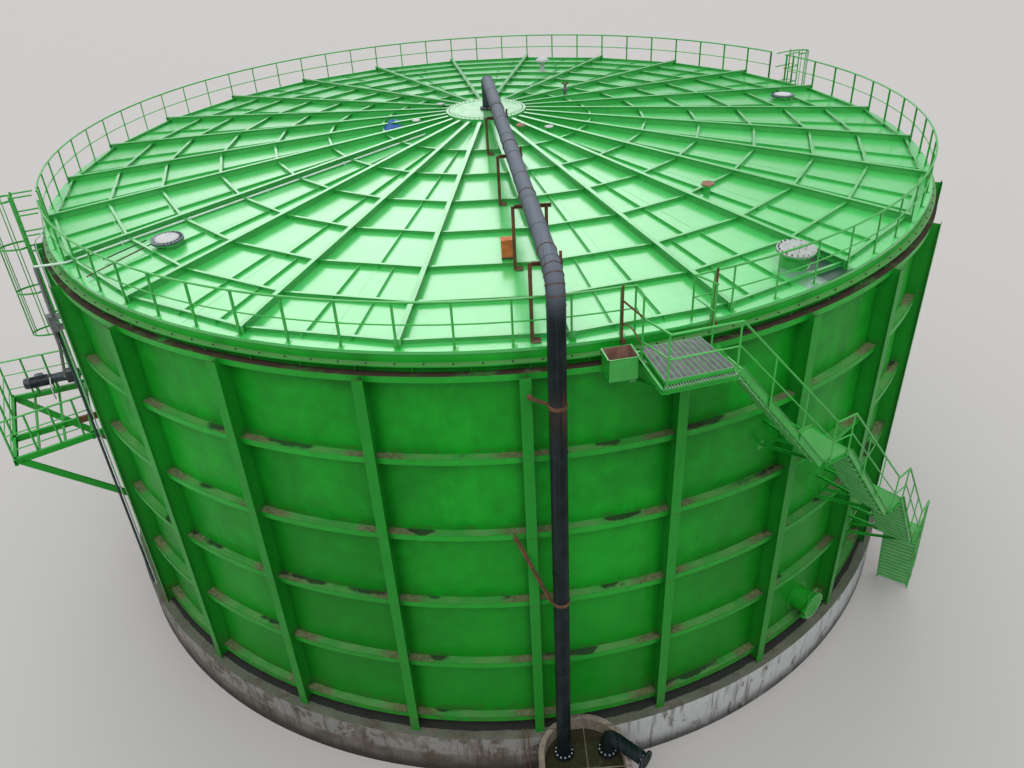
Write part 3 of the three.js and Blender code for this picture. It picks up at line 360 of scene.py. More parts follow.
# %% Concrete
def concrete_finish(name, light, dark, whitewash=0.9):
    f = Finish(name)
    grain = f.noise(14.0, 10.0, rough=0.7)
    blotch = f.noise(1.6, 6.0, shift=3.0)
    upright = f.facing < 0.5
    colour = f.mix((grain * 0.4 + blotch * 0.6).rise(0.36, 0.64), dark, light)
    washed = f.turn.rise(4.0, 14.0) * f.turn.rise(66.0, 50.0) * upright
    wash = washed * f.noise(2.4, 7.0, (1, 1, 0.5), 0.65, 6.0).rise(0.34, 0.46) * whitewash
    peeling = upright * f.z.rise(0.62, 0.80)
    peeling = peeling * f.noise(1.8, 8.0, (1, 1, 0.8), 0.7, 21.0).rise(0.44, 0.52) * whitewash
    colour = f.mix(peeling * 0.7, colour, (0.24, 0.24, 0.225))
    colour = f.mix(wash * 0.9, colour, (0.42, 0.44, 0.44))
    runs = f.noise(6.0, 6.0, (1, 1, 0.10), 0.6, 1.0).rise(0.52, 0.66)
    colour = f.mix(runs * 0.55, colour, (0.055, 0.040, 0.026))
    level = f.facing.rise(0.7, 0.95)
    ledge = level * f.noise(1.9, 6.0, shift=9.0).rise(0.30, 0.55) * whitewash
    colour = f.mix(ledge * 0.8, colour, (0.085, 0.110, 0.075))
    moss = f.noise(4.5, 7.0, rough=0.7, shift=15.0).rise(0.60, 0.70)
    colour = f.mix(moss * 0.6, colour, (0.035, 0.075, 0.020))
    damp = f.z.rise(0.62, 0.05) * (blotch + 0.3).rise(0.4, 0.8)
    colour = f.mix(damp * 0.9, colour, (0.016, 0.015, 0.012))
    # Painted shade, with dirt: a nearly black band on the plinth top beside the wall, under the lowest ring.
    near_wall = f.radius.rise(13.50, 13.34) * 0.7 + f.noise(1.6, 8.0, rough=0.7, shift=30.0)
    shade_and_dirt_under_wall = level * near_wall.rise(0.98, 1.08) * whitewash
    colour = f.mix(shade_and_dirt_under_wall, colour, (0.010, 0.012, 0.010))
    height = grain * 0.5 + blotch * 0.8 + f.noise(40.0, 4.0, rough=0.7) * 0.15
    return f.done(colour, 0.88 - wash * 0.15 - damp * 0.25, height, 0.7, 0.03, specular_ior_level=0.25)


concrete = concrete_finish("stained_concrete", (0.15, 0.135, 0.115), (0.065, 0.053, 0.038))
sump_concrete = concrete_finish("sump_concrete", (0.34, 0.29, 0.24), (0.19, 0.155, 0.12), 0.0)


# %% Gas pipe polymer
def pipe_finish(name):
    f = Finish(name)
    lines = f.noise(34.0, 2.0, (1, 0.004, 0.004), 0.5)
    soft = f.noise(9.0, 3.0, (1, 0.02, 0.02), 0.5, 4.0)
    dust = f.noise(2.0, 6.0, shift=7.0)
    on_roof = f.z.rise(13.6, 14.2)
    grey = f.facing.rise(-0.6, 0.7) * on_roof * 0.8 + dust.rise(0.4, 0.8) * 0.10
    colour = f.mix(soft.rise(0.3, 0.7), (0.002, 0.006, 0.006), (0.005, 0.012, 0.012))
    colour = f.mix(grey, colour, (0.135, 0.155, 0.19))
    colour = f.mix(lines.rise(0.60, 0.66) * 0.45, colour, (0.045, 0.060, 0.075))
    stain = f.z.rise(12.4, 11.75) * f.z.rise(10.9, 11.7) * f.noise(7.0, 5.0, (1, 1, 0.08)).rise(0.4, 0.6)
    colour = f.mix(stain * 0.5, colour, (0.09, 0.04, 0.025))
    return f.done(colour, 0.38 + grey * 0.2 + dust * 0.1, lines * 0.2 + dust * 0.3, 0.2, 0.004,
                  specular_ior_level=0.15)


black_pipe = pipe_finish("black_pipe")


# %% Rust, white, grating, motor, orange, water
def plain_finish(name, light, dark, roughness, scale=6.0, metallic=0.0, wear=(0.16, 0.06, 0.03),
                 worn=0.66, strength=0.35, film=0.35):
    f = Finish(name)
    broad = f.noise(scale, 6.0)
    grain = f.noise(scale * 9, 6.0, rough=0.7, shift=3.0)
    colour = f.mix((broad * 0.6 + grain * 0.4).rise(0.36, 0.64), dark, light)
    chips = f.noise(scale * 2.3, 8.0, rough=0.7, shift=9.0).rise(worn, worn + 0.06)
    colour = f.mix(chips * 0.8, colour, wear)
    dust = f.facing.rise(0.6, 1.0) * broad.rise(0.45, 0.75)
    colour = f.mix(dust * film, colour, (0.32, 0.30, 0.26))
    return f.done(colour, roughness + chips * 0.25 + grain * 0.1,
                  broad * 0.4 + grain * 0.3 + chips * 0.4, strength, 0.004,
                  metallic=metallic)


rusted = plain_finish("rusted_steel", (0.155, 0.070, 0.027), (0.070, 0.032, 0.015), 0.78, 5.0, 0.0,
                      (0.05, 0.02, 0.015), 0.6, 0.6)
pink_rust = plain_finish("pink_rust", (0.36, 0.20, 0.15), (0.21, 0.105, 0.075), 0.8, 4.0, 0.0,
                         (0.12, 0.04, 0.02), 0.58)
sump_bar = plain_finish("sump_bar", (0.20, 0.16, 0.10), (0.10, 0.075, 0.045), 0.7, 6.0)
white_enamel = plain_finish("white_enamel", (0.52, 0.52, 0.53), (0.42, 0.42, 0.43), 0.62, 3.0)
pale_steel = plain_finish("pale_steel", (0.42, 0.45, 0.42), (0.27, 0.30, 0.28), 0.42, 7.0, 0.3)
grating_steel = plain_finish("grating_steel", (0.20, 0.20, 0.215), (0.13, 0.13, 0.14), 0.5, 8.0, 0.3)
bolt_dark = plain_finish("bolt_dark", (0.030, 0.042, 0.033), (0.014, 0.020, 0.016), 0.5, 30.0, 0.2)
# The stitch welds' dark green is painted shadow beside each purlin, with rust chips.
weld_shadow_green = plain_finish("weld_shadow_green", (0.020, 0.16, 0.035), (0.012, 0.09, 0.02), 0.45, 20.0)
conduit_white = plain_finish("conduit_white", (0.56, 0.72, 0.60), (0.44, 0.60, 0.48), 0.5, 3.0, 0.0,
                             (0.30, 0.16, 0.12), 0.66, film=0.0)
glass_ring = plain_finish("glass_ring", (0.075, 0.125, 0.135), (0.035, 0.060, 0.068), 0.4, 9.0)
motor_blue = plain_finish("motor_blue", (0.032, 0.044, 0.060), (0.016, 0.022, 0.032), 0.42, 6.0)
drive_grey = plain_finish("drive_grey", (0.19, 0.20, 0.20), (0.11, 0.12, 0.12), 0.45, 6.0)
orange_shell = plain_finish("orange_shell", (0.66, 0.20, 0.05), (0.44, 0.11, 0.03), 0.6, 5.0, 0.0,
                            (0.20, 0.13, 0.10), 0.64)
blue_tarp = plain_finish("blue_sheet", (0.04, 0.16, 0.46), (0.02, 0.08, 0.30), 0.6, 9.0, 0.0,
                         (0.3, 0.36, 0.42), 0.62)
seam_brown = plain_finish("seam_brown", (0.12, 0.06, 0.045), (0.05, 0.035, 0.03), 0.6, 20.0)


def water_finish(name):
    f = Finish(name)
    scum = f.noise(3.0, 7.0, rough=0.7).rise(0.50, 0.72)
    colour = f.mix(scum * 0.6, (0.030, 0.027, 0.014), (0.085, 0.085, 0.040))
    return f.done(colour, 0.05 + scum * 0.4, f.noise(5.0, 3.0), 0.10, 0.01, specular_ior_level=0.35)


still_water = water_finish("still_water")


def floor_finish(name):
    f = Finish(name)
    grain = f.noise(30.0, 3.0)
    return f.done(f.mix(grain, (0.44, 0.42, 0.405), (0.47, 0.45, 0.435)), 0.9, specular_ior_level=0.1)


pale_floor = floor_finish("pale_floor")
print("finishes:", len(bpy.data.materials))

# %% [markdown]
# ## Making shapes
# Most of the tank is rolled section: bars, angles, tees and channels, straight or bent round the wall.
# So three helpers do nearly all of it: `sweep` carries an outline along a path and mitres its corners,
# `turned` spins a profile on a lathe, and `round_tank` bends an outline round the tank. Each adds a
# closed solid whose faces point outwards.

# %% Shapes
def polar(radius, angle, height):
    turn = math.radians(angle)
    return Vector((radius * math.sin(turn), -radius * math.cos(turn), height))


def sideways(angle):
    """To the right of a spot at this angle, seen from outside."""
    turn = math.radians(angle)
    return Vector((math.cos(turn), math.sin(turn), 0))


def band(inner, outer, low, high):
    """The section of a flat ring, as (radius, height) pairs."""
    return [(inner, low), (outer, low), (outer, high), (inner, high)]


def rectangle(width, depth, below=0.5):
    low, high = -below * depth, (1 - below) * depth
    return [(-width / 2, low), (width / 2, low), (width / 2, high), (-width / 2, high)]


def circle(radius, sides):
    steps = [2 * math.pi * (i + 0.5) / sides for i in range(sides)]
    return [(radius * math.cos(t), radius * math.sin(t)) for t in steps]


def tee(width, depth, plate, web):
    """A tee with its flange on top: the foot of its web is at 0."""
    half, stem, under = width / 2, web / 2, depth - plate
    right_side = [(stem, 0), (stem, under), (half, under), (half, depth)]
    return [(-stem, 0), *right_side, (-half, depth), (-half, under), (-stem, under)]


def angle_bar(width, depth, plate):
    return [(0, 0), (width, 0), (width, plate), (plate, plate), (plate, depth), (0, depth)]


def channel(width, depth, plate):
    """A channel lying open to the right, its depth upright and centred."""
    half = depth / 2
    return [(0, -half), (width, -half), (width, plate - half), (plate, plate - half), (plate, half - plate),
            (width, half - plate), (width, half), (0, half)]


class Shape:
    """The solids of one piece, each with the finish that was in hand when it was added."""

    def __init__(self, *finishes):
        self.points, self.faces, self.marks = [], [], []
        self.finishes = list(finishes)
        self.mark = 0

    def use(self, finish):
        if finish not in self.finishes:
            self.finishes.append(finish)
        self.mark = self.finishes.index(finish)
        return self

    def solid(self, points, faces):
        volume = 0
        for face in faces:
            for second, third in zip(face[1:], face[2:]):
                volume += points[face[0]].dot(points[second].cross(points[third]))
        start = len(self.points)
        self.points += [tuple(p) for p in points]
        self.faces += [tuple(start + i for i in (f if volume > 0 else reversed(f))) for f in faces]
        self.marks += [self.mark] * len(faces)
        return self

    def loft(self, rings, closed=False):
        """Skins rings that have the same number of points."""
        size = len(rings[0])
        points = [p for ring in rings for p in ring]
        faces = []
        for i in range(len(rings) if closed else len(rings) - 1):
            here, there = i * size, ((i + 1) % len(rings)) * size
            faces += [(here + k, here + (k + 1) % size, there + (k + 1) % size, there + k)
                      for k in range(size)]
        if not closed:
            faces += [tuple(reversed(range(size))), tuple(range(len(points) - size, len(points)))]
        return self.solid(points, faces)

    def sweep(self, path, outline, upward=(0, 0, 1), flip=1):
        path = [Vector(p) for p in path]
        ways = [(b - a).normalized() for a, b in zip(path, path[1:])]
        side = ways[0].cross(Vector(upward))
        if side.length < 1e-4:
            side = ways[0].cross(Vector((0, 1, 0)))
        side.normalize()
        sides = [side * flip]
        for before, after in zip(ways, ways[1:]):
            sides.append(before.rotation_difference(after) @ sides[-1])
        rings = []
        for i, point in enumerate(path):
            run = max(i - 1, 0)
            way, across = ways[run], sides[run]
            lift = across.cross(way) * flip
            bisector = (way + ways[min(i, len(ways) - 1)]).normalized()
            ring = []
            for x, y in outline:
                offset = across * x + lift * y
                ring.append(point + offset - way * (offset.dot(bisector) / way.dot(bisector)))
            rings.append(ring)
        return self.loft(rings)

    def bar(self, start, end, width, depth, below=0.5):
        return self.sweep((start, end), rectangle(width, depth, below))

    def tube(self, path, radius, sides=10):
        return self.sweep(path, circle(radius, sides))

    def turned(self, profile, centre=(0, 0, 0), axis=(0, 0, 1), sides=32, phase=0.0):
        """profile holds (radius, height) pairs along the axis; both its ends may be on the axis."""
        axis = Vector(axis).normalized()
        across = axis.orthogonal().normalized() if abs(axis.z) < 0.99 else Vector((1, 0, 0))
        other = axis.cross(across)
        points, rings, faces = [], [], []
        for radius, height in profile:
            middle = Vector(centre) + axis * height
            steps = [0] if radius < 1e-6 else range(sides)
            rings.append([len(points) + k for k in range(len(steps))])
            for k in steps:
                turn = 2 * math.pi * k / sides + phase
                points.append(middle + (across * math.cos(turn) + other * math.sin(turn)) * radius)
        closed = len(rings[0]) > 1
        for here, there in zip(rings, rings[1:] + (rings[:1] if closed else [])):
            for k in range(sides):
                after = (k + 1) % sides
                if len(here) == 1 and len(there) > 1:
                    faces.append((here[0], there[after], there[k]))
                elif len(there) == 1 and len(here) > 1:
                    faces.append((here[k], here[after], there[0]))
                elif len(here) > 1:
                    faces.append((here[k], here[after], there[after], there[k]))
        return self.solid(points, faces)

    def round_tank(self, outline, first=0.0, last=360.0, steps=208):
        """outline holds (radius, height) pairs; the outline is carried round the tank axis."""
        closed = last - first > 359.9
        count = steps if closed else steps + 1
        turns = [first + (last - first) * i / steps for i in range(count)]
        return self.loft([[polar(r, a, z) for r, z in outline] for a in turns], closed)

    def block(self, angle, across, radial, height):
        """A box square to the tank: across to the right seen from outside, radial outwards."""
        out, side = polar(1, angle, 0), sideways(angle)
        corners = [(across[i], radial[j]) for i, j in ((0, 1), (1, 1), (1, 0), (0, 0))]
        return self.loft([[side * s + out * r + Vector((0, 0, z)) for s, r in corners] for z in height])

    def prism(self, outline, low, high):
        return self.loft([[Vector((x, y, z)) for x, y in outline] for z in (low, high)])

    def take(self, mesh):
        """Adds a finished mesh with its own materials."""
        mark = self.mark
        places = [self.use(m).mark for m in mesh.materials] or [mark]
        self.mark = mark
        start = len(self.points)
        self.points += [tuple(v.co) for v in mesh.vertices]
        self.faces += [tuple(start + i for i in p.vertices) for p in mesh.polygons]
        self.marks += [places[p.material_index] for p in mesh.polygons]
        return self

    def mesh(self, name):
        made = bpy.data.meshes.new(name)
        made.from_pydata(self.points, [], self.faces)
        for finish in self.finishes:
            made.materials.append(finish)
        made.polygons.foreach_set("material_index", self.marks)
        made.polygons.foreach_set("use_smooth", [True] * len(self.faces))
        made.set_sharp_from_angle(angle=math.radians(32))
        return made


triangles = {}


def piece(name, shape, slot, *nodes):
    """Puts a finished shape in the scene, on the tank's one body, in place of CAD nodes."""
    made = bpy.data.objects.new(name, shape.mesh(name))
    scene.collection.objects.link(made)
    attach(made, "root")
    if nodes:
        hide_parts(*nodes)
    triangles[name] = sum(len(f) - 2 for f in shape.faces)
    print(f"{name}: {triangles[name]} triangles")


# %% [markdown]
# ## What repeats
# Tees, rafters, bolts, posts and rungs come in equal steps, round an axis or along a line. Two small
# Geometry Nodes trees do both: they place instances of a seed shape, make them real and paint them.
# The result is copied back as a plain mesh, so nothing live is left on a piece.

# %% Trees that repeat a seed shape
def tree_with(name, inputs):
    tree = bpy.data.node_groups.new(name, "GeometryNodeTree")
    tree.interface.new_socket("Seed", in_out="INPUT", socket_type="NodeSocketGeometry")
    for label, kind in inputs:
        tree.interface.new_socket(label, in_out="INPUT", socket_type=kind)
    tree.interface.new_socket("Result", in_out="OUTPUT", socket_type="NodeSocketGeometry")
    given, result = tree.nodes.new("NodeGroupInput"), tree.nodes.new("NodeGroupOutput")
    index = tree.nodes.new("GeometryNodeInputIndex")
    points = tree.nodes.new("GeometryNodePoints")
    placed = tree.nodes.new("GeometryNodeInstanceOnPoints")
    real = tree.nodes.new("GeometryNodeRealizeInstances")
    painted = tree.nodes.new("GeometryNodeSetMaterial")
    tree.links.new(given.outputs["Count"], points.inputs["Count"])
    tree.links.new(points.outputs[0], placed.inputs["Points"])
    tree.links.new(given.outputs["Seed"], placed.inputs["Instance"])
    tree.links.new(placed.outputs[0], real.inputs[0])
    tree.links.new(given.outputs["Finish"], painted.inputs["Material"])
    tree.links.new(painted.outputs[0], result.inputs[0])
    return tree, given, index, points, placed, real, painted


around, given, index, points, placed, real, painted = tree_with("around_an_axis", (
    ("Count", "NodeSocketInt"), ("First", "NodeSocketFloat"), ("Step", "NodeSocketFloat"),
    ("Place", "NodeSocketVector"), ("Turn", "NodeSocketRotation"), ("Finish", "NodeSocketMaterial")))
turn_by = around.nodes.new("ShaderNodeMath")
turn_by.operation = "MULTIPLY_ADD"
turn_about = around.nodes.new("ShaderNodeCombineXYZ")
moved = around.nodes.new("GeometryNodeTransform")
around.links.new(index.outputs[0], turn_by.inputs[0])
around.links.new(given.outputs["Step"], turn_by.inputs[1])
around.links.new(given.outputs["First"], turn_by.inputs[2])
around.links.new(turn_by.outputs[0], turn_about.inputs["Z"])
around.links.new(turn_about.outputs[0], placed.inputs["Rotation"])
around.links.new(real.outputs[0], moved.inputs["Geometry"])
around.links.new(given.outputs["Place"], moved.inputs["Translation"])
around.links.new(given.outputs["Turn"], moved.inputs["Rotation"])
around.links.new(moved.outputs[0], painted.inputs["Geometry"])

along, given, index, points, placed, real, painted = tree_with("along_a_line", (
    ("Count", "NodeSocketInt"), ("Step", "NodeSocketVector"), ("Finish", "NodeSocketMaterial")))
far_by = along.nodes.new("ShaderNodeVectorMath")
far_by.operation = "SCALE"
along.links.new(given.outputs["Step"], far_by.inputs[0])
along.links.new(index.outputs[0], far_by.inputs["Scale"])
along.links.new(far_by.outputs[0], points.inputs["Position"])
along.links.new(real.outputs[0], painted.inputs["Geometry"])


def repeat(target, tree, seed, finish, **sizes):
    """Runs a tree over a seed shape and adds the plain result to the target shape."""
    worker = bpy.data.objects.new("worker", seed.mesh("seed"))
    scene.collection.objects.link(worker)
    modifier = worker.modifiers.new("repeat", "NODES")
    modifier.node_group = tree
    sockets = {item.name: item.identifier for item in tree.interface.items_tree if item.in_out == "INPUT"}
    for label, value in {**sizes, "Finish": finish}.items():
        modifier[sockets[label]] = value
    worker.update_tag()
    result = bpy.data.meshes.new_from_object(worker.evaluated_get(bpy.context.evaluated_depsgraph_get()))
    target.take(result)
    bpy.data.objects.remove(worker)
    bpy.data.meshes.remove(result)


def round_steps(target, seed, finish, count, first=0.0, step=None, place=(0, 0, 0), axis=(0, 0, 1)):
    """The seed is drawn at angle 0, about the origin; angles in degrees."""
    turn = Vector((0, 0, 1)).rotation_difference(Vector(axis)).to_euler()
    repeat(target, around, seed, finish, Count=count, First=math.radians(first),
           Step=math.radians(360 / count if step is None else step), Place=tuple(place), Turn=tuple(turn))


def line_steps(target, seed, finish, count, step):
    repeat(target, along, seed, finish, Count=count, Step=tuple(step))


def bolt_seed(radius, size=0.024, high=0.018):
    """A hexagon head with a washer under it, out on the -Y side of a flange."""
    seed = Shape()
    washer, head = size * 0.85, size * 0.58
    profile = [(0, -0.004), (washer, -0.004), (washer, 0.004), (head, 0.004), (head, high), (0, high)]
    return seed.turned(profile, (0, -radius, 0), sides=6)


def bolt_circle(target, centre, axis, radius, count, size=0.024, finish=None, high=0.018):
    round_steps(target, bolt_seed(radius, size, high), finish or pale_steel, count, 4.0, None, centre, axis)


print("trees:", [tree.name for tree in bpy.data.node_groups])

# %% [markdown]
# ## The wall
# The real wall is sheet steel rolled into courses, stiffened outside by 26 upright tees and six rings
# of angle. A ring's shelf and its upturned lip make a shallow gutter, which is why mud and water lie
# there. The sheet is turned round the axis; tees are repeated in equal steps; rings are bent.

# %% Wall, tees and rings
WALL_RADIUS, TEE_RADIUS, RING_RADIUS = 13.05, 13.50, 13.30
RING_LEVELS = (0.40, 2.50, 4.60, 6.70, 8.80, 10.82)
WALL_TOP = PLINTH_TOP + 11.0
FOOT = PLINTH_TOP + 0.0004
WALL_SHEET = 0.012
WEB_HALF, FLANGE_HALF = 0.008, 0.115
RING_PLATE, RING_DEEP = 0.012, 0.14

wall = Shape(wall_green)
wall.round_tank(band(WALL_RADIUS - WALL_SHEET, WALL_RADIUS, FOOT, WALL_TOP))
piece("tank_wall", wall, "tank_paint", *[f"wall_segment_{i}" for i in range(1, 5)])

stiffeners = Shape(steel_green)
tee_seed = Shape()
tee_top = PLINTH_TOP + 10.83
tee_seed.block(0, (-WEB_HALF, WEB_HALF), (WALL_RADIUS, TEE_RADIUS - 0.01), (FOOT, tee_top - 0.02))
tee_seed.block(0, (-FLANGE_HALF, FLANGE_HALF), (TEE_RADIUS - 0.016, TEE_RADIUS), (FOOT, tee_top))
for side in (-1, 1):
    weld = side * WEB_HALF
    weld_radii = (TEE_RADIUS - 0.026, TEE_RADIUS - 0.014)
    tee_seed.block(0, (weld - 0.006, weld + 0.006), weld_radii, (FOOT, tee_top - 0.03))
round_steps(stiffeners, tee_seed, steel_green, TEES, FIRST_STIFFENER)
lip = RING_RADIUS - RING_PLATE
for level in RING_LEVELS:
    top = PLINTH_TOP + level
    stiffeners.round_tank([
        (WALL_RADIUS - 0.002, top - 0.042), (lip, top - 0.042), (lip, top - RING_DEEP),
        (RING_RADIUS, top - RING_DEEP), (RING_RADIUS, top),
        (lip, top), (lip, top - 0.030), (WALL_RADIUS - 0.002, top - 0.030)])
piece("wall_stiffeners", stiffeners, "tank_paint", *[f"stiffener_frame_{i}" for i in range(1, 5)])

# %% [markdown]
# ## Where roof meets wall
# Two flat flanges are bolted together at the top of the wall, and a kerb stands on the upper one.
# The bolts come every 2.5 degrees; they are what gives the rim its dotted line.

# %% Rim flanges, bolts and kerb
FLANGE_RADIUS, FLANGE_PLATE = 13.22, 0.016
KERB_INNER, KERB_OUTER = 12.88, 13.078
KERB_TOP = PLINTH_TOP + 11.25
rim = Shape(steel_green)
rim.round_tank(band(WALL_RADIUS, FLANGE_RADIUS, WALL_TOP - FLANGE_PLATE, WALL_TOP - 0.0002))
gusset_height = (WALL_TOP - 0.13, WALL_TOP - 0.014)
gusset = Shape().block(0, (-0.004, 0.004), (WALL_RADIUS, FLANGE_RADIUS - 0.02), gusset_height)
round_steps(rim, gusset, steel_green, 72, 2.5)
piece("wall_flange", rim, "tank_paint", "wall_top_flange")

kerb = Shape(steel_green)
kerb.round_tank([
    (KERB_INNER, WALL_TOP + 0.0003), (FLANGE_RADIUS, WALL_TOP + 0.0003),
    (FLANGE_RADIUS, WALL_TOP + FLANGE_PLATE), (KERB_OUTER, WALL_TOP + FLANGE_PLATE),
    (KERB_OUTER, KERB_TOP), (KERB_INNER, KERB_TOP)])
kerb.use(rafter_green).round_tank(band(13.076, 13.098, KERB_TOP - 0.05, KERB_TOP - 0.002))
bolt_profile = [(0, 0), (0.022, 0), (0.022, 0.012), (0.014, 0.012), (0.014, 0.032), (0, 0.032)]
rim_bolt = Shape().turned(bolt_profile, polar(13.16, 0, WALL_TOP + 0.012), sides=6)
round_steps(kerb, rim_bolt, bolt_dark, 144, 1.0)
piece("roof_kerb", kerb, "tank_paint", "roof_kerb_ring")

# %% [markdown]
# ## The roof
# Thin sheets lie on the cone, and all the stiffening is above them: 24 rafters run from the hub to the
# rim, rings of tee purlins cross them, and small angles divide the bays, one in each of the inner
# bays and two in the outer ones. The bay under the gas pipe has none, only the laps of its sheets. One
# sector of rafter and purlins is drawn and repeated 24 times; the small angles differ from bay to bay.

# %% Deck
ROOF_RADIUS = 13.08
DECK_RIM = KERB_TOP + 0.0103
SLOPE = 1.06 / ROOF_RADIUS
FIRST_RAFTER = 6.23
RAFTERS = 24
RAFTER_END = 12.945


def roof_height(radius):
    return DECK_RIM + (ROOF_RADIUS - radius) * SLOPE


def on_deck(radius, angle, lift=0.0):
    return polar(radius, angle, roof_height(radius) + lift)


deck = Shape(deck_green)
apex = roof_height(0)
deck.turned([(0, apex), (ROOF_RADIUS, DECK_RIM), (ROOF_RADIUS, DECK_RIM - 0.01), (0, apex - 0.01)], sides=192)
lap_seed = Shape().sweep((on_deck(1.3, 0, 0.001), on_deck(12.98, 0, 0.001)), rectangle(0.04, 0.005))
round_steps(deck, lap_seed, deck_green, RAFTERS, FIRST_RAFTER + 8.2)
piece("roof_sheets", deck, "roof_paint", "roof_deck")

# %% Rafters, purlins and small angles
PIPE_BAY = RAFTERS - 1
PURLINS = (3.30, 4.98, 6.64, 8.30, 9.96, 11.40, 12.82)
roof_bars = Shape(rafter_green)
sector = Shape()
rafter_path = (on_deck(1.2503, 0, 0.002), on_deck(RAFTER_END, 0, 0.002))
sector.sweep(rafter_path, tee(0.112, 0.188, 0.012, 0.012))
sector.sweep(rafter_path, rectangle(0.09, 0.010, 0))
sector.bar(on_deck(12.93, 0, 0.0), on_deck(RAFTER_END, 0, 0.0), 0.15, 0.19, 0)
for radius in PURLINS:
    ends = [on_deck(radius, a, 0.003) for a in (0.05, 14.95)]
    sector.sweep(ends, tee(0.072, 0.098, 0.008, 0.008))
    sector.sweep(ends, rectangle(0.05, 0.006, 0))
round_steps(roof_bars, sector, rafter_green, RAFTERS, FIRST_RAFTER)
SMALL_ANGLE = angle_bar(0.045, 0.062, 0.008)
for bay in range(PIPE_BAY):
    first = FIRST_RAFTER + 360 / RAFTERS * bay
    lean = max(-2.4, min(2.4, ((first + 187.5) % 360 - 180) * 0.065))
    for inner, outer in zip(PURLINS, PURLINS[1:]):
        offsets = (7.5,) if outer < 10 else (4.9, 9.6)
        for offset in offsets:
            turn = first + offset - lean
            ends = (on_deck(inner + 0.01, turn, 0.001), on_deck(outer - 0.01, turn, 0.001))
            roof_bars.sweep(ends, SMALL_ANGLE)
piece("roof_bars", roof_bars, "roof_paint", *[f"roof_frame_{i}" for i in range(1, 5)])

# %% [markdown]
# ## Welds and painted shadow on the deck
# The purlins are stitched to the sheets by short welds, which show as a dashed line of shadow and rust
# beside each one. Their beads are painted dark green as that shadow. They are tiny beads, so a bead of
# few faces is enough.

# %% Stitch welds, painted dark as shadow
weld_shadows = Shape()
for radius in PURLINS[1:]:
    start, end = (on_deck(radius - 0.045, a, 0.002) for a in (0.6, 14.4))
    count = round((end - start).length / 0.75)
    step = (end - start) / count
    bead = Shape().sweep((start, start + step * 0.86), rectangle(0.016, 0.012))
    row = Shape()
    line_steps(row, bead, weld_shadow_green, count, step)
    round_steps(weld_shadows, row, weld_shadow_green, RAFTERS, FIRST_RAFTER)
piece("purlin_weld_shadows", weld_shadows, "roof_paint")

# %% Hub
HUB_RADIUS = 1.25
HUB_TOP = roof_height(0) + 0.13
HUB_FOOT = roof_height(HUB_RADIUS) + 0.005
hub = Shape(rafter_green)
hub.turned([
    (0, HUB_TOP), (HUB_RADIUS, HUB_TOP), (HUB_RADIUS, HUB_FOOT), (HUB_RADIUS - 0.02, HUB_FOOT),
    (HUB_RADIUS - 0.02, HUB_TOP - 0.02), (0, HUB_TOP - 0.02)], sides=72)
hub.turned(band(1.02, 1.06, HUB_TOP, HUB_TOP + 0.008), sides=72)
bolt_circle(hub, (0, 0, HUB_TOP), (0, 0, 1), 1.16, 48, 0.022, bolt_dark)
piece("hub_plate", hub, "roof_paint", "roof_hub")

# %% [markdown]
# ## Guard rail
# Angle posts every five degrees carry a top rail and a thinner mid rail. The rail is broken where
# the stair and the two ladders come up, so it is made in arcs, each with its own row of posts.

# %% Guard rail
RAIL_RADIUS, RAIL_HIGH, MID_RAIL_HIGH = 12.99, 1.01, 0.53
POST_STEP = 5
RAIL_ARCS = ((2.6, 22.3), (23, 57.4), (58.1, 72.86))


def rail_angle(step):
    return FIRST_RAFTER + step * POST_STEP


guard = Shape(rail_green)
post = Shape()
post_ends = (polar(RAIL_RADIUS, 0, DECK_RIM + 0.004), polar(RAIL_RADIUS, 0, DECK_RIM + RAIL_HIGH))
post.sweep(post_ends, angle_bar(0.045, 0.045, 0.006))
post.block(0, (-0.06, 0.06), (RAIL_RADIUS - 0.05, RAIL_RADIUS + 0.06), (DECK_RIM + 0.002, DECK_RIM + 0.012))
for first, last in RAIL_ARCS:
    start, end = rail_angle(first), rail_angle(last)
    top, middle = DECK_RIM + RAIL_HIGH, DECK_RIM + MID_RAIL_HIGH
    steps = int((end - start) / 1.25)
    guard.round_tank([(RAIL_RADIUS + x, top + y) for x, y in circle(0.025, 8)], start, end, steps)
    guard.round_tank([(RAIL_RADIUS + x, middle + y) for x, y in circle(0.017, 6)], start, end, steps)
    whole = math.ceil(first)
    round_steps(guard, post, rail_green, math.floor(last) - whole + 1, rail_angle(whole), POST_STEP)
    for angle in (start, end):
        round_steps(guard, post, rail_green, 1, angle)
piece("guard_rail", guard, "roof_paint", *[f"guard_rail_{i}" for i in range(1, 6)])

# %% [markdown]
# ## Gas pipe
# The pipe rises from the hub, slopes over the rim and drops down the wall into the sump. Polymer pipe is
# welded end to end, and each weld leaves a raised bead; the bends are cut from straight pieces,
# so they get a bead at every mitre.

# %% Gas pipe with beads and flanges
PIPE_RADIUS = 0.1775
RISER = Vector((1.02, -13.88, 0))
hub_bend = Vector((0.08, 0, PLINTH_TOP + 13.33))
rim_bend = Vector((RISER.x, RISER.y, PLINTH_TOP + 13.10))
riser_foot = Vector((RISER.x, RISER.y, PLINTH_TOP - 0.33))
hub_nozzle = Vector((0.08, 0, HUB_TOP + 0.0003))


def bend(before, corner, after, reach=0.32, cuts=4):
    start = corner + (before - corner).normalized() * reach
    end = corner + (after - corner).normalized() * reach
    steps = [i / cuts for i in range(cuts + 1)]
    return [start * (1 - t) ** 2 + corner * (2 * t * (1 - t)) + end * t ** 2 for t in steps]


def bead(target, centre, way, radius=PIPE_RADIUS, half=0.012, high=0.011):
    inner, shoulder = radius - 0.01, radius + high * 0.7
    profile = [(inner, -half), (shoulder, -half), (radius + high, 0), (shoulder, half), (inner, half)]
    target.turned(profile, centre, way, 40)


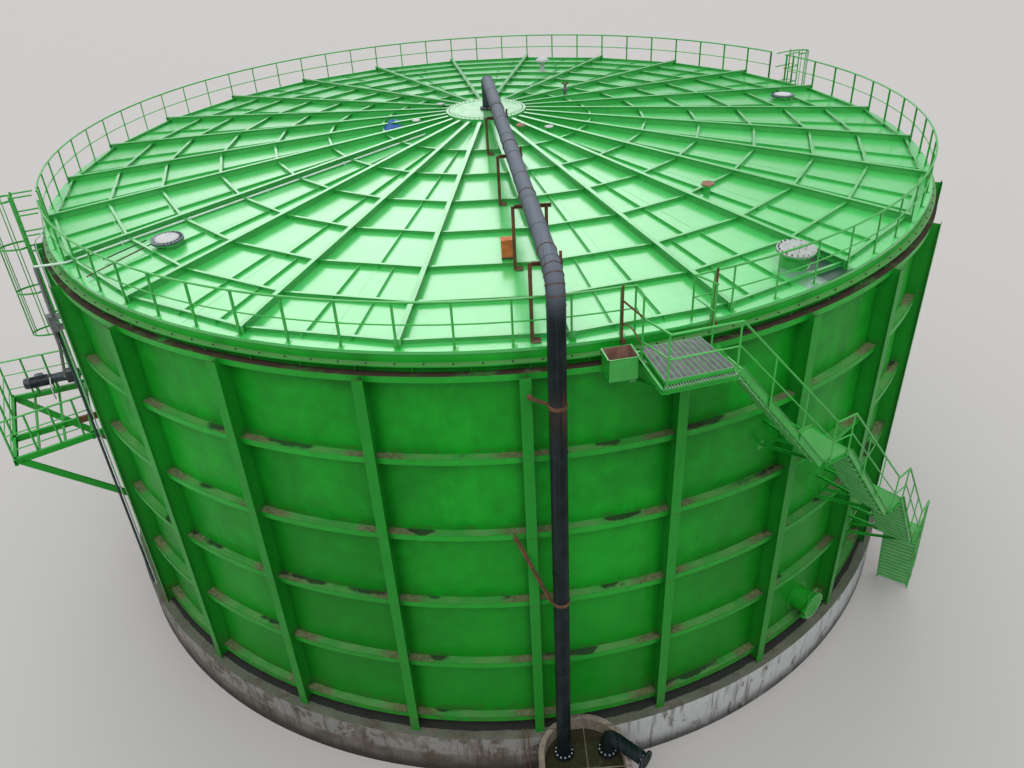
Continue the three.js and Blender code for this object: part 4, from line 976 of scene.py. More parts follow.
def pipe_flange(target, centre, axis, radius=0.26, thick=0.045, bolts=12):
    """The flange lies on the far side of centre along axis, and its bolts show on that side."""
    axis = Vector(axis).normalized()
    target.turned(band(0.1, radius, 0, thick), centre, axis, 48)
    far_face = Vector(centre) + axis * thick
    bolt_circle(target, far_face, axis, radius - 0.045, bolts, 0.026, white_enamel, 0.024)


gas = Shape(black_pipe)
upper, lower = bend(hub_nozzle, hub_bend, rim_bend), bend(hub_bend, rim_bend, riser_foot, 0.55, 5)
gas.tube([hub_nozzle, *upper, *lower, riser_foot], PIPE_RADIUS, 40)
gas.use(seam_brown)
for path in (upper, lower):
    for before, here, after in zip(path, path[1:], path[2:]):
        bead(gas, here, after - before)
gas.use(black_pipe)
for start, end, pitch in ((upper[-1], lower[0], 1.42), (lower[-1], riser_foot, 3.1)):
    run = end - start
    count = round(run.length / pitch)
    for i in range(count + 1):
        bead(gas, start + run * (i / count), run, high=0.009)
pipe_flange(gas, hub_nozzle, (0, 0, 1))
pipe_flange(gas, riser_foot, (0, 0, 1))
piece("gas_line", gas, "black_pipe", "gas_pipe")

# %% Line through the sump and out
OUTLET_X = 2.15
outlet_up = Vector((OUTLET_X, RISER.y, riser_foot.z))
run_level = 0.76
crossing = Shape(black_pipe)
down, across_end = riser_foot - Vector((0, 0, 0.0003)), outlet_up - Vector((0, 0, 0.0003))
low_left, low_right = Vector((RISER.x, RISER.y, run_level)), Vector((OUTLET_X, RISER.y, run_level))
first_bend, second_bend = bend(down, low_left, low_right, 0.28), bend(low_left, low_right, across_end, 0.28)
crossing.tube([down, *first_bend, *second_bend, across_end], PIPE_RADIUS, 32)
for top in (down, across_end):
    pipe_flange(crossing, top, (0, 0, -1))
piece("sump_line", crossing, "black_pipe", "sump_crossover_pipe")

outlet = Shape(black_pipe)
out_way = Vector((0.72, -0.69, 0)).normalized()
outlet_corner = Vector((OUTLET_X, RISER.y, PLINTH_TOP + 0.27))
outlet_end = outlet_corner + out_way * 1.15
outlet_bend = bend(outlet_up, outlet_corner, outlet_end, 0.27, 3)
outlet.tube([outlet_up, *outlet_bend, outlet_end], PIPE_RADIUS, 40)
for before, here, after in zip(outlet_bend, outlet_bend[1:], outlet_bend[2:]):
    bead(outlet, here, after - before)
bead(outlet, outlet_corner + out_way * 0.62, out_way)
pipe_flange(outlet, outlet_up, (0, 0, 1))
pipe_flange(outlet, outlet_end, -out_way)
outlet.use(white_enamel)
bolt_circle(outlet, outlet_end - out_way * 0.022, out_way, 0.215, 12, 0.024, white_enamel, 0.020)
piece("outlet_elbow", outlet, "black_pipe", "gas_outlet_elbow")
corners = (hub_nozzle, hub_bend, rim_bend, riser_foot)
print("gas line is", round(sum((b - a).length for a, b in zip(corners, corners[1:])), 1), "m long")

# %% [markdown]
# ## Rusted supports
# Four frames of old iron carry the pipe over the roof: one has two legs, the others a leg and a stub.
# Clamps hold the riser. None of them had paint. The clamps keep their CAD solids, which already have
# the right shape, and get the rust.

# %% Supports and clamps
SUPPORTS = ((3.42, 0.25), (6.72, 0.25), (10.03, 0.46), (12.85, 0.25))
way = (rim_bend - hub_bend).normalized()
side = way.cross(Vector((0, 0, 1))).normalized()
lift = way.cross(Vector((0, 0, 1))).cross(way).normalized()
for number, (distance, reach) in enumerate(SUPPORTS, 1):
    centre = hub_bend.lerp(rim_bend, distance / -rim_bend.y)
    top = centre.z - PIPE_RADIUS + 0.004
    support = Shape(rusted)
    left, right_leg = centre.x - 0.25, centre.x + reach
    beam = [Vector((x, -distance, top - 0.04)) for x in (left - 0.04, right_leg + 0.04)]
    support.sweep(beam, channel(0.05, 0.08, 0.008))
    for x in (left, right_leg) if reach > 0.3 else (left,):
        ground = roof_height(math.hypot(x, distance))
        leg = [Vector((x - 0.035, -distance - 0.035, z)) for z in (ground + 0.006, top - 0.03)]
        support.sweep(leg, angle_bar(0.075, 0.075, 0.009))
        foot = [Vector((x + reach_out, -distance, ground + 0.008)) for reach_out in (-0.1, 0.1)]
        support.bar(*foot, 0.2, 0.012)
    if reach < 0.3:
        stub = [Vector((right_leg, -distance, z)) for z in (top - 0.06, top + PIPE_RADIUS)]
        support.bar(*stub, 0.055, 0.008)
    turns = [math.radians(a) for a in range(-20, 201, 20)]
    strap = [centre + (side * math.cos(t) + lift * math.sin(t)) * (PIPE_RADIUS + 0.008) for t in turns]
    support.tube(strap, 0.009, 6)
    piece(f"pipe_stand_{number}", support, "rusted_steel", f"pipe_support_{number}")
for node in ("riser_clamp_upper", "riser_strut"):
    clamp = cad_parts[node]
    for holder in clamp.material_slots:
        holder.material = rusted
    if not clamp.material_slots:
        clamp.data.materials.append(rusted)

# %% [markdown]
# ## Fittings on the roof
# Each fitting stands square to the slope on a short neck. A small helper gives the seat and the
# slope's own upright at any radius and angle, and the rest is lathe work and bolts.

# %% Manways, nozzle and vent
def slope_up(angle):
    return Vector(polar(SLOPE, angle, 1)).normalized()


def neck_and_flange(target, radius, angle, neck, flange, high, thick, bolts, finish, bolt=0.024):
    seat, upright = on_deck(radius, angle), slope_up(angle)
    bore, fillet = neck - 0.01, neck + 0.03
    profile = [(bore, -0.012), (fillet, -0.004), (fillet, 0.006), (neck, 0.012), (neck, high), (bore, high)]
    target.turned(profile, seat, upright, 40)
    target.turned(band(bore, flange, high - thick, high), seat, upright, 40)
    bolt_circle(target, seat + upright * high, upright, (neck + flange) / 2 + 0.01, bolts, bolt, finish)
    return seat, upright


for side, radius, angle in (("left", 10.85, -47.4), ("right", 10.75, 105.2)):
    glass = Shape(rafter_green)
    seat, upright = neck_and_flange(glass, radius, angle, 0.31, 0.40, 0.16, 0.02, 24, bolt_dark)
    glass.use(glass_ring).turned(band(0.285, 0.398, 0.16, 0.205), seat, upright, 48)
    bolt_circle(glass, seat + upright * 0.205, upright, 0.345, 24, 0.026, bolt_dark)
    lid = [(0, 0.15), (0.288, 0.15), (0.288, 0.212), (0.27, 0.226), (0.15, 0.24), (0, 0.245)]
    glass.use(white_enamel).turned(lid, seat, upright, 48)
    piece(f"sight_glass_{side}", glass, "white_paint", f"sight_manway_{side}")

MANHOLE_ANGLE = 32.6
manhole = Shape(rafter_green)
seat, upright = neck_and_flange(manhole, 12.15, MANHOLE_ANGLE, 0.33, 0.43, 0.36, 0.025, 20, pale_steel)
lid = [(0, 0.362), (0.43, 0.362), (0.43, 0.392), (0.34, 0.398), (0, 0.40)]
manhole.use(pale_steel).turned(lid, seat, upright, 48)
bolt_circle(manhole, seat + upright * 0.392, upright, 0.385, 20, 0.026, bolt_dark)
for side in (-1, 1):
    grip = seat + polar(1, MANHOLE_ANGLE + 90, 0) * (0.12 * side)
    far_grip = grip + polar(1, MANHOLE_ANGLE, 0) * 0.16
    foot, bend_up = upright * 0.39, upright * 0.46
    manhole.tube((grip + foot, grip + bend_up, far_grip + bend_up, far_grip + foot), 0.009, 6)
piece("roof_manhole", manhole, "roof_paint", "roof_manway")

nozzle = Shape(rafter_green)
seat, upright = neck_and_flange(nozzle, 8.5, 40.2, 0.09, 0.16, 0.29, 0.022, 8, bolt_dark, 0.02)
cap = [(0, 0.29), (0.16, 0.29), (0.16, 0.325), (0.15, 0.33), (0, 0.33)]
nozzle.use(pink_rust).turned(cap, seat, upright, 32)
piece("roof_nozzle_dressed", nozzle, "roof_paint", "roof_nozzle")

vent = Shape(white_enamel)
seat, upright = on_deck(8.9, 164.5), slope_up(164.5)
vent_pipe = [(0.16, -0.01), (0.16, 0.03), (0.09, 0.03), (0.09, 0.40), (0.08, 0.40), (0.08, -0.01)]
vent.turned(vent_pipe, seat, upright, 32)
hood_outside = [(0, 0.585), (0.10, 0.57), (0.20, 0.52), (0.258, 0.465), (0.262, 0.40)]
hood_inside = [(0.25, 0.40), (0.24, 0.455), (0.12, 0.52), (0, 0.54)]
vent.turned(hood_outside + hood_inside, seat, upright, 40)
for turn in range(0, 360, 60):
    foot = seat + polar(0.085, turn, 0)
    vent.bar(foot + upright * 0.38, foot + upright * 0.53, 0.02, 0.006)
piece("roof_vent_dressed", vent, "white_paint", "roof_vent")

# %% Small flanges and a valve near the hub, two rods near the left rim
small = Shape(rafter_green)
SMALL_FLANGES = (
    (2.06, 28.7, 0.14, 0.22, pink_rust),
    (2.64, 43.7, 0.13, 0.20, pale_steel),
    (2.22, -76.3, 0.13, 0.20, pale_steel),
    (1.75, -124, 0.14, 0.24, pale_steel),
)
for radius, angle, wide, high, finish in SMALL_FLANGES:
    small.use(rafter_green)
    seat, upright = neck_and_flange(small, radius, angle, wide * 0.55, wide, high, 0.022, 8, bolt_dark, 0.016)
    cap = [(0, high), (wide, high), (wide, high + 0.02), (0, high + 0.022)]
    small.use(finish).turned(cap, seat, upright, 24)
seat, upright = on_deck(3.8, 134), slope_up(134)
valve_body = [
    (0, 0), (0.06, 0), (0.06, 0.22), (0.11, 0.24), (0.11, 0.30),
    (0.05, 0.32), (0.04, 0.46), (0, 0.46)]
small.use(drive_grey).turned(valve_body, seat, upright, 20)
small.use(rusted).turned(band(0.10, 0.13, 0.44, 0.47), seat, upright, 20)
handle_middle, handle_half = seat + upright * 0.455, polar(0.12, 20, 0)
small.bar(handle_middle + handle_half, handle_middle - handle_half, 0.02, 0.012)
LOOSE_RODS = ((rusted, (12.92, -47.4), (10.95, -49.3)), (bolt_dark, (12.30, -50.0), (11.15, -50.8)))
for finish, start, end in LOOSE_RODS:
    small.use(finish).tube((on_deck(*start, 0.08), on_deck(*end, 0.08)), 0.016, 8)
piece("roof_small_fittings", small, "roof_paint")

# %% [markdown]
# ## Orange box and the scrap of blue sheet
# An orange weatherproof box stands beside the pipe, with a lid that overhangs, a seam all round and
# cable glands below. A crumpled piece of blue sheet lies near the hub; it is bent by a few waves.

# %% Orange box and blue sheet
box_shape = Shape(orange_shell)
JUNCTION_ANGLE, JUNCTION_RADIUS = 1.8, 9.5
ground = roof_height(JUNCTION_RADIUS)
box_shape.block(JUNCTION_ANGLE, (-0.142, 0.142), (9.408, 9.612), (ground + 0.05, ground + 0.43))
box_shape.block(JUNCTION_ANGLE, (-0.15, 0.15), (9.40, 9.62), (ground + 0.425, ground + 0.47))
box_shape.block(JUNCTION_ANGLE, (-0.146, 0.146), (9.404, 9.616), (ground + 0.235, ground + 0.247))
box_shape.use(rusted)
for side in (-0.12, 0.12):
    leg_height = (ground - 0.018, ground + 0.055)
    box_shape.block(JUNCTION_ANGLE, (side - 0.02, side + 0.02), (9.43, 9.59), leg_height)
box_shape.use(bolt_dark)
for side in (-0.06, 0.06):
    gland = polar(JUNCTION_RADIUS, JUNCTION_ANGLE, ground + 0.052) + Vector((side, 0, 0))
    box_shape.turned(band(0, 0.022, -0.06, 0), gland, sides=10)
for side in (-0.128, 0.128):
    for level in (0.08, 0.40):
        screw = polar(9.614, JUNCTION_ANGLE, ground + level) + Vector((side, 0, 0))
        box_shape.turned([(0, 0), (0.012, 0), (0.010, 0.006), (0, 0.007)], screw, (0, -1, 0), 8)
piece("orange_box", box_shape, "orange_box", "roof_junction_box")

sheet_grid, sheet_size = [], 9
for i in range(sheet_size):
    for j in range(sheet_size):
        u, v = i / (sheet_size - 1) - 0.5, j / (sheet_size - 1) - 0.5
        radius = 2.95 + u * 0.62 + 0.06 * math.sin(5 * v)
        angle = -86 + v * 11 + 0.8 * math.sin(9 * u)
        bulge = 0.22 * math.cos(math.pi * u) * math.cos(math.pi * v)
        sheet_grid.append(on_deck(radius, angle, 0.03 + bulge + 0.02 * math.sin(11 * u + 4 * v)))
blue = Shape(blue_tarp)
blue_under = [p - Vector((0, 0, 0.012)) for p in sheet_grid]
cells = []
for i in range(sheet_size - 1):
    for j in range(sheet_size - 1):
        cell = i * sheet_size + j
        cells.append((cell, cell + sheet_size, cell + sheet_size + 1, cell + 1))
shift = len(sheet_grid)
last_row = (sheet_size - 1) * sheet_size
edge = [
    *range(sheet_size),
    *[i * sheet_size + sheet_size - 1 for i in range(1, sheet_size)],
    *[last_row + j for j in range(sheet_size - 2, -1, -1)],
    *[i * sheet_size for i in range(sheet_size - 2, 0, -1)],
]
skirt = [(b, a, a + shift, b + shift) for a, b in zip(edge, edge[1:] + edge[:1])]
upper_faces = [tuple(reversed(c)) for c in cells]
under_faces = [tuple(k + shift for k in c) for c in cells]
blue.solid(sheet_grid + blue_under, upper_faces + under_faces + [tuple(reversed(s)) for s in skirt])
piece("blue_sheet", blue, "roof_paint")

# %% Conduits from the hub to the box on the left wall
BOX_ANGLE = -56
conduit = Shape(conduit_white)


def conduit_angle(radius):
    """The conduit keeps 0.10 m to the right of the rafter it follows."""
    return FIRST_RAFTER - 60 + math.degrees(0.10 / radius)


beside_rafter = [on_deck(r, conduit_angle(r), 0.05) for r in (2.4, 7.0, 12.95)]
corner = polar(13.62, -54.6, DECK_RIM + 0.06)
conduit.tube([*beside_rafter, polar(13.25, -53.7, DECK_RIM + 0.07), corner], 0.030, 10)
for r in (3.2, 5.2, 7.6, 9.8, 11.6):
    clip_height = (roof_height(r) + 0.002, roof_height(r) + 0.084)
    conduit.block(conduit_angle(r), (-0.040, 0.040), (r - 0.015, r + 0.015), clip_height)
# Radius, angle and height over the plinth where a hose bends
HOSE_TURNS = (
    (13.0, -63.6, 11.9), (13.1, -63.8, 11.42), (13.25, -64.2, 11.27),
    (13.38, -64.7, 11.15), (13.42, -65.0, 10.9), (13.42, -65.0, 6.3))
conduit.tube([polar(r, a, PLINTH_TOP + z) for r, a, z in HOSE_TURNS], 0.018, 8)
conduit.tube((polar(13.53, -57.3, PLINTH_TOP + 9.5), polar(13.53, -57.3, 1.45)), 0.020, 8)
sleeve = (corner - Vector((0, 0, 0.02)), polar(13.63, -55.2, PLINTH_TOP + 9.9))
conduit.use(drive_grey).tube(sleeve, 0.048, 12)
conduit.block(BOX_ANGLE, (-0.13, 0.13), (13.57, 13.74), (PLINTH_TOP + 9.44, PLINTH_TOP + 9.88))
conduit.block(BOX_ANGLE, (-0.14, 0.14), (13.735, 13.75), (PLINTH_TOP + 9.43, PLINTH_TOP + 9.89))
for level in (9.50, 9.80):
    arm_height = (PLINTH_TOP + level - 0.02, PLINTH_TOP + level + 0.02)
    conduit.block(BOX_ANGLE, (-0.16, 0.16), (WALL_RADIUS + 0.001, 13.58), arm_height)
GREY_HOSE_TURNS = ((13.70, -56.3, 9.41), (13.70, -56.6, 8.9), (13.88, -64.5, 7.1), (13.98, -68.6, 6.7))
conduit.tube([polar(r, a, PLINTH_TOP + z) for r, a, z in GREY_HOSE_TURNS], 0.042, 12)
downpipe = (polar(13.62, -56.7, PLINTH_TOP + 9.41), polar(13.60, -56.7, PLINTH_TOP + 0.3))
conduit.use(motor_blue).tube(downpipe, 0.034, 10)
piece("conduit_and_box", conduit, "drive_blue")

# %% [markdown]
# ## Weir box
# An open box of thin plate hangs on the rim, green outside and rusted pink inside. Two shells of
# the same box, one inside the other, carry the two finishes.

# %% Weir box
WEIR_ANGLE = 9.6
weir = Shape(rail_green)
low, high = PLINTH_TOP + 10.70, PLINTH_TOP + 11.20


def weir_sides(half, inner_half, side_from, side_to, height):
    """The two side plates of a box, half and inner_half to each side of its middle."""
    for across in ((-half, -inner_half), (inner_half, half)):
        weir.block(WEIR_ANGLE, across, (side_from, side_to), height)


weir_sides(0.29, 0.282, 13.302, 13.78, (low, high))
for radial in ((13.772, 13.78), (13.302, 13.31)):
    weir.block(WEIR_ANGLE, (-0.29, 0.29), radial, (low, high))
weir.block(WEIR_ANGLE, (-0.29, 0.29), (13.302, 13.78), (low, low + 0.008))
weir.use(pink_rust)
weir_sides(0.281, 0.277, 13.312, 13.77, (low + 0.01, high - 0.006))
for radial in ((13.766, 13.771), (13.311, 13.316)):
    weir.block(WEIR_ANGLE, (-0.281, 0.281), radial, (low + 0.01, high - 0.006))
weir.block(WEIR_ANGLE, (-0.28, 0.28), (13.312, 13.77), (low + 0.009, low + 0.014))
weir.use(rail_green)
weir_sides(0.315, 0.285, 13.302, 13.80, (high - 0.006, high + 0.001))
weir.block(WEIR_ANGLE, (-0.315, 0.315), (13.775, 13.80), (high - 0.006, high + 0.001))
piece("weir_box_dressed", weir, "tank_paint", "weir_box")

# %% [markdown]
# ## Stair round the wall
# Four landings on brackets are joined by straight flights that follow the wall in chords. Each landing
# is a channel frame; the top one carries a bar grating, the others plates with raised ribs. A flight has
# two channel stringers and open treads: one seed tread is repeated down the slope.

# %% Landings
STAIR_HALF = 0.475
STAIR_FOOT = (15.05, 57.6, 0.13)
GRATING_BARS, CROSS_BARS, PLATE_RIBS = 72, 9, 18
# Name, first and last angle, height over the plinth, outer radius, width, depth, angles of its brackets
LANDINGS = (
    ("top", 11, 17.1, 11.20, 14.83, 1.42, 0.23, (11.6, 16.45)),
    ("upper", 26.1, 28.9, 8.32, 14.99, 1.09, 0.11, (26.6, 28.4)),
    ("middle", 37, 39.7, 5.52, 15.05, 1.09, 0.11, (37.5, 39.2)),
    ("lower", 47.2, 50.2, 2.72, 15.05, 1.09, 0.11, (47.8, 49.6)),
)


def drop(point, by):
    return point - Vector((0, 0, by))


def channel_bar(target, start, end, width, depth, plate=0.008, away=1):
    """A channel whose back is on the left of its path, or on the right with away at -1."""
    outline = [((x - width / 2) * away, y) for x, y in channel(width, depth, plate)]
    return target.sweep((start, end), outline if away > 0 else outline[::-1])


for name, first, last, rise, outer, width, deep, brackets in LANDINGS:
    level = PLINTH_TOP + rise
    plan = ((outer, first), (outer, last), (outer - width, last), (outer - width, first))
    corners = [polar(r, a, level) for r, a in plan]
    centre = sum(corners, Vector()) / 4
    inset = [c + (centre - c).normalized() * 0.03 for c in corners]
    landing = Shape(rail_green)
    frame_drop = deep - 0.058
    for start, end in zip(inset, inset[1:] + inset[:1]):
        channel_bar(landing, drop(start, frame_drop), drop(end, frame_drop), 0.05, 0.11)
    if name == "top":
        deck_in = [c + (centre - c).normalized() * 0.13 for c in corners]
        out_left, out_right, in_right, in_left = deck_in
        for start, end in ((out_left, out_right), (in_left, out_left), (in_right, in_left)):
            landing.bar(drop(start, 0.048), drop(end, 0.048), 0.008, 0.096)
        for i in range(GRATING_BARS + 1):
            share = i / GRATING_BARS
            start, end = in_left.lerp(in_right, share), out_left.lerp(out_right, share)
            thick = i % 6 == 0
            landing.use(plate_green if thick else grating_steel)
            landing.bar(drop(start, 0.018), drop(end, 0.018), 0.012 if thick else 0.011, 0.034)
            if i % 3 == 0:
                way = (end - start).normalized()
                landing.use(pale_steel).bar(drop(end, 0.112), drop(end, 0.112) + way * 0.09, 0.022, 0.022)
        landing.use(grating_steel)
        for i in range(CROSS_BARS):
            share = (i + 0.5) / CROSS_BARS
            start, end = in_left.lerp(out_left, share), in_right.lerp(out_right, share)
            landing.bar(drop(start, 0.016), drop(end, 0.016), 0.008, 0.010)
        landing.use(rail_green)
    else:
        landing.use(plate_green).prism([(c.x, c.y) for c in inset], level - 0.012, level - 0.002)
        for start, end in ((inset[0], inset[1]), (inset[2], inset[3])):
            landing.bar(drop(start, -0.03), drop(end, -0.03), 0.006, 0.09)
        for i in range(PLATE_RIBS):
            share = (i + 0.5) / PLATE_RIBS
            start, end = inset[3].lerp(inset[2], share), inset[0].lerp(inset[1], share)
            landing.bar(drop(start, 0.001), drop(end, 0.001), 0.006, 0.005)
        landing.use(rail_green)
    under = level - deep
    for angle in brackets:
        outer_end = polar(outer - 0.06, angle, under - 0.03)
        channel_bar(landing, polar(WALL_RADIUS, angle, under - 0.03), outer_end, 0.055, 0.066, 0.007)
        brace = (polar(WALL_RADIUS, angle, under - 0.70), polar(outer - 0.13, angle, under - 0.04))
        landing.sweep(brace, angle_bar(0.06, 0.06, 0.008))
        landing.block(angle, (-0.08, 0.08), (WALL_RADIUS, WALL_RADIUS + 0.012), (under - 0.82, under - 0.60))
    piece(f"landing_{name}", landing, "roof_paint", f"stair_landing_{name}")

# %% Flights
stops = [(outer, last, PLINTH_TOP + rise - 0.03) for _, _, last, rise, outer, *_ in LANDINGS]
arrivals = [(outer, first, PLINTH_TOP + rise - 0.03) for _, first, _, rise, outer, *_ in LANDINGS[1:]]
arrivals.append(STAIR_FOOT)
# Where the bars of a tread lie along the level way, and their depths
TREAD_BARS = ((-0.105, 0.04), (-0.055, 0.03), (-0.018, 0.03), (0.018, 0.03), (0.055, 0.03), (0.105, 0.04))
TREAD_RISE = 0.215
for number, (leaves, arrives) in enumerate(zip(stops, arrivals), 1):
    start, end = (polar(outer - STAIR_HALF, angle, level) for outer, angle, level in (leaves, arrives))
    level_way = Vector((end.x - start.x, end.y - start.y, 0)).normalized()
    across = Vector((level_way.y, -level_way.x, 0))
    flight = Shape(rail_green)
    for side in (-1, 1):
        offset = across * (0.448 * side)
        upper_end = drop(start + offset + level_way * 0.003, 0.02)
        lower_end = drop(end + offset - level_way * 0.003, 0.02)
        channel_bar(flight, upper_end, lower_end, 0.045, 0.15, 0.008, side)
    count = round((leaves[2] - arrives[2]) / TREAD_RISE) - 1
    step = (end - start) / (count + 1)
    tread = Shape()
    for shift, deep in TREAD_BARS:
        middle = drop(start + step + level_way * shift, 0.05)
        thick = 0.008 if abs(shift) < 0.1 else 0.03
        tread.bar(middle - across * 0.43, middle + across * 0.43, thick, deep, 1)
    for side in (-1, 0, 1):
        middle = drop(start + step + across * (0.40 * side), 0.05)
        tread.bar(middle - level_way * 0.11, middle + level_way * 0.11, 0.008, 0.03, 1)
    line_steps(flight, tread, plate_green, count, step)
    piece(f"flight_{number}", flight, "roof_paint", f"stair_flight_{number}")

# %% [markdown]
# ## Handrail of the stair
# One rail and one mid rail run down the outer side, landing by landing, on a post at each corner and
# two along each flight. At the top they meet the roof's rail on taller posts, beside rusted gate posts.

# %% Handrail and gate
RAIL_BAR = 0.022
TOP_LEVEL = PLINTH_TOP + 11.20


def stand(target, place, below, above, width, plate=0.006):
    """An angle post that reaches from below to above a place."""
    target.sweep((drop(place, below), drop(place, -above)), angle_bar(width, width, plate))


handrail = Shape(rail_green)
walk = []
for _, first, last, rise, outer, *_ in LANDINGS:
    middle = (first + last) / 2
    for angle in (first + 0.4, last - 0.4):
        edge = outer * math.cos(math.radians((last - first) / 2)) / math.cos(math.radians(angle - middle))
        walk.append(polar(edge + RAIL_BAR + 0.002, angle, PLINTH_TOP + rise))
walk.append(polar(15.068, 57.2, 0))
inner_left, inner_right = polar(13.80, 11.1, TOP_LEVEL), polar(13.88, 16.9, TOP_LEVEL)
for height, thick, inward in ((1.0, RAIL_BAR, 0.78), (0.5, 0.016, 0.30)):
    handrail.tube([drop(inner_left, -inward), *[drop(p, -height) for p in walk]], thick, 10)
for number, p in enumerate(walk):
    stand(handrail, p, 0.05 if number < len(walk) - 1 else 0, 1.0, 0.036)
for start, end in list(zip(walk, walk[1:]))[1::2]:
    for share in (0.33, 0.67):
        stand(handrail, start.lerp(end, share), 0.16, 1.0, 0.032, 0.005)
guard_left, guard_right = polar(RAIL_RADIUS, 11.8, DECK_RIM), polar(RAIL_RADIUS, 17.2, DECK_RIM)
for inner, guard_end, high in ((inner_left, guard_left, 1.24), (inner_right, guard_right, 1.28)):
    stand(handrail, inner, 0.05, high, 0.040)
    stand(handrail, guard_end, -0.004, RAIL_HIGH, 0.040)
    handrail.tube((drop(guard_end, -RAIL_HIGH + 0.01), drop(inner, -high + 0.01)), 0.020, 8)
    handrail.tube((drop(guard_end, -MID_RAIL_HIGH), drop(inner, -0.70)), 0.016, 8)
for guard_end, old_end in ((guard_left, 10.55), (guard_right, 19.2)):
    old_place = polar(RAIL_RADIUS, old_end, DECK_RIM)
    handrail.tube((drop(guard_end, -RAIL_HIGH + 0.01), drop(old_place, -RAIL_HIGH)), 0.022, 8)
    handrail.tube((drop(guard_end, -MID_RAIL_HIGH), drop(old_place, -MID_RAIL_HIGH)), 0.016, 8)
piece("stair_handrail", handrail, "roof_paint", "stair_outer_rail")

gate = Shape(rusted)
gate_left, gate_right = polar(13.125, 10.45, TOP_LEVEL), polar(13.125, 19.05, TOP_LEVEL)
for p in (gate_left, gate_right):
    stand(gate, p, 0.06, 1.18, 0.050)
    gate.bar(drop(p, 0.02) - polar(0.03, 12, 0), drop(p, 0.02) + polar(0.03, 12, 0), 0.09, 0.09)
gate.tube((drop(gate_left, -0.84), drop(inner_left, -0.80)), 0.022, 8)
hoop = []
for t in (0, 0.2, 0.4, 0.6, 0.8, 1):
    lift = 0.36 + 0.14 * math.sin(math.pi * t) - 0.22 * t
    hoop.append(gate_left.lerp(inner_left, t) + Vector((0, 0, lift)))
gate.tube(hoop, 0.014, 8)
beside_gate = polar(13.125, 18.72, TOP_LEVEL)
stand(gate.use(rail_green), beside_gate, 0.04, 0.90, 0.040)
piece("gate_posts", gate, "rusted_steel")

# %% [markdown]
# ## Mixer platform
# Halfway up the left side an open frame of channels reaches out on two braces, with rails on three
# sides. The mixer's gear case and motor lie on it, and its shaft tube ends at the outside of the wall.
# The motor is ribbed along its length, so one thin rib is repeated round its axis.

# %% Platform and rails
PLATFORM_TOP = PLINTH_TOP + 6.0
PLATFORM_FROM, PLATFORM_TO = -71.4, -57.5
FAR_BEAM, MIDDLE_BEAM, NEAR_BEAM = -71.0, -62.2, -57.9
BEAM_LEVEL = PLATFORM_TOP - 0.09
BRACE_LOW = PLATFORM_TOP - 2.70
platform = Shape(steel_green)
for angle in (FAR_BEAM, MIDDLE_BEAM, NEAR_BEAM):
    beam = [polar(radius, angle, BEAM_LEVEL) for radius in (WALL_RADIUS, 15.69)]
    channel_bar(platform, *beam, 0.09, 0.18, 0.010)
    seat_height = (PLATFORM_TOP - 0.24, PLATFORM_TOP + 0.04)
    platform.block(angle, (-0.10, 0.10), (WALL_RADIUS, WALL_RADIUS + 0.014), seat_height)
rusted_end = (polar(WALL_RADIUS, MIDDLE_BEAM, BEAM_LEVEL), polar(13.9, MIDDLE_BEAM, BEAM_LEVEL))
platform.use(rusted).bar(*rusted_end, 0.094, 0.184)
platform.use(steel_green)
for radius in (13.70, 15.70):
    edge_from, edge_to = polar(radius, PLATFORM_FROM, BEAM_LEVEL), polar(radius, PLATFORM_TO, BEAM_LEVEL)
    channel_bar(platform, edge_from, edge_to, 0.09, 0.18, 0.010, -1)
for radius in (14.38, 15.05):
    joist = [polar(radius, angle, PLATFORM_TOP - 0.075) for angle in (FAR_BEAM, NEAR_BEAM)]
    platform.sweep(joist, angle_bar(0.075, 0.075, 0.008))
for angle in (FAR_BEAM, NEAR_BEAM):
    brace = (polar(WALL_RADIUS, angle, BRACE_LOW), polar(15.57, angle, PLATFORM_TOP - 0.14))
    channel_bar(platform, *brace, 0.09, 0.17, 0.010)
    seat_height = (PLATFORM_TOP - 2.86, PLATFORM_TOP - 2.54)
    platform.block(angle, (-0.12, 0.12), (WALL_RADIUS, WALL_RADIUS + 0.014), seat_height)
rusted_end = (polar(WALL_RADIUS, FAR_BEAM, BRACE_LOW), polar(13.75, FAR_BEAM, PLATFORM_TOP - 1.995))
platform.use(rusted).bar(*rusted_end, 0.094, 0.174)
piece("platform_frame", platform, "tank_paint", "mixer_platform")

rails = Shape(rail_green)
POST_RADII = (13.9, 14.5, 15.1, 15.7)
rail_walk = [(r, NEAR_BEAM) for r in POST_RADII] + [(r, FAR_BEAM) for r in reversed(POST_RADII)]
rail_path = [polar(r, a, PLATFORM_TOP) for r, a in rail_walk]
PLATFORM_RAILS = ((1.18, 0.027), (0.725, 0.017), (0.25, 0.017))
for height, thick in PLATFORM_RAILS:
    rails.tube([drop(p, -height) for p in rail_path], thick, 10)
rail_path_end = polar(13.52, NEAR_BEAM, PLATFORM_TOP)
for height, thick in PLATFORM_RAILS[:2]:
    rails.tube((drop(rail_path_end, -height), drop(rail_path[0], -height)), thick, 10)
for p in rail_path + [rail_path[3].lerp(rail_path[4], t) for t in (0.33, 0.67)]:
    stand(rails, p, -0.0005, 1.18, 0.042)
piece("platform_rails", rails, "roof_paint", "platform_rail")

# %% Mixer
MIXER_ANGLE, MIXER_LEVEL = -70, PLATFORM_TOP + 0.45
mixer_axis = polar(1, MIXER_ANGLE, 0)
mixer_side = sideways(MIXER_ANGLE)


def on_mixer(radius):
    return polar(radius, MIXER_ANGLE, MIXER_LEVEL)


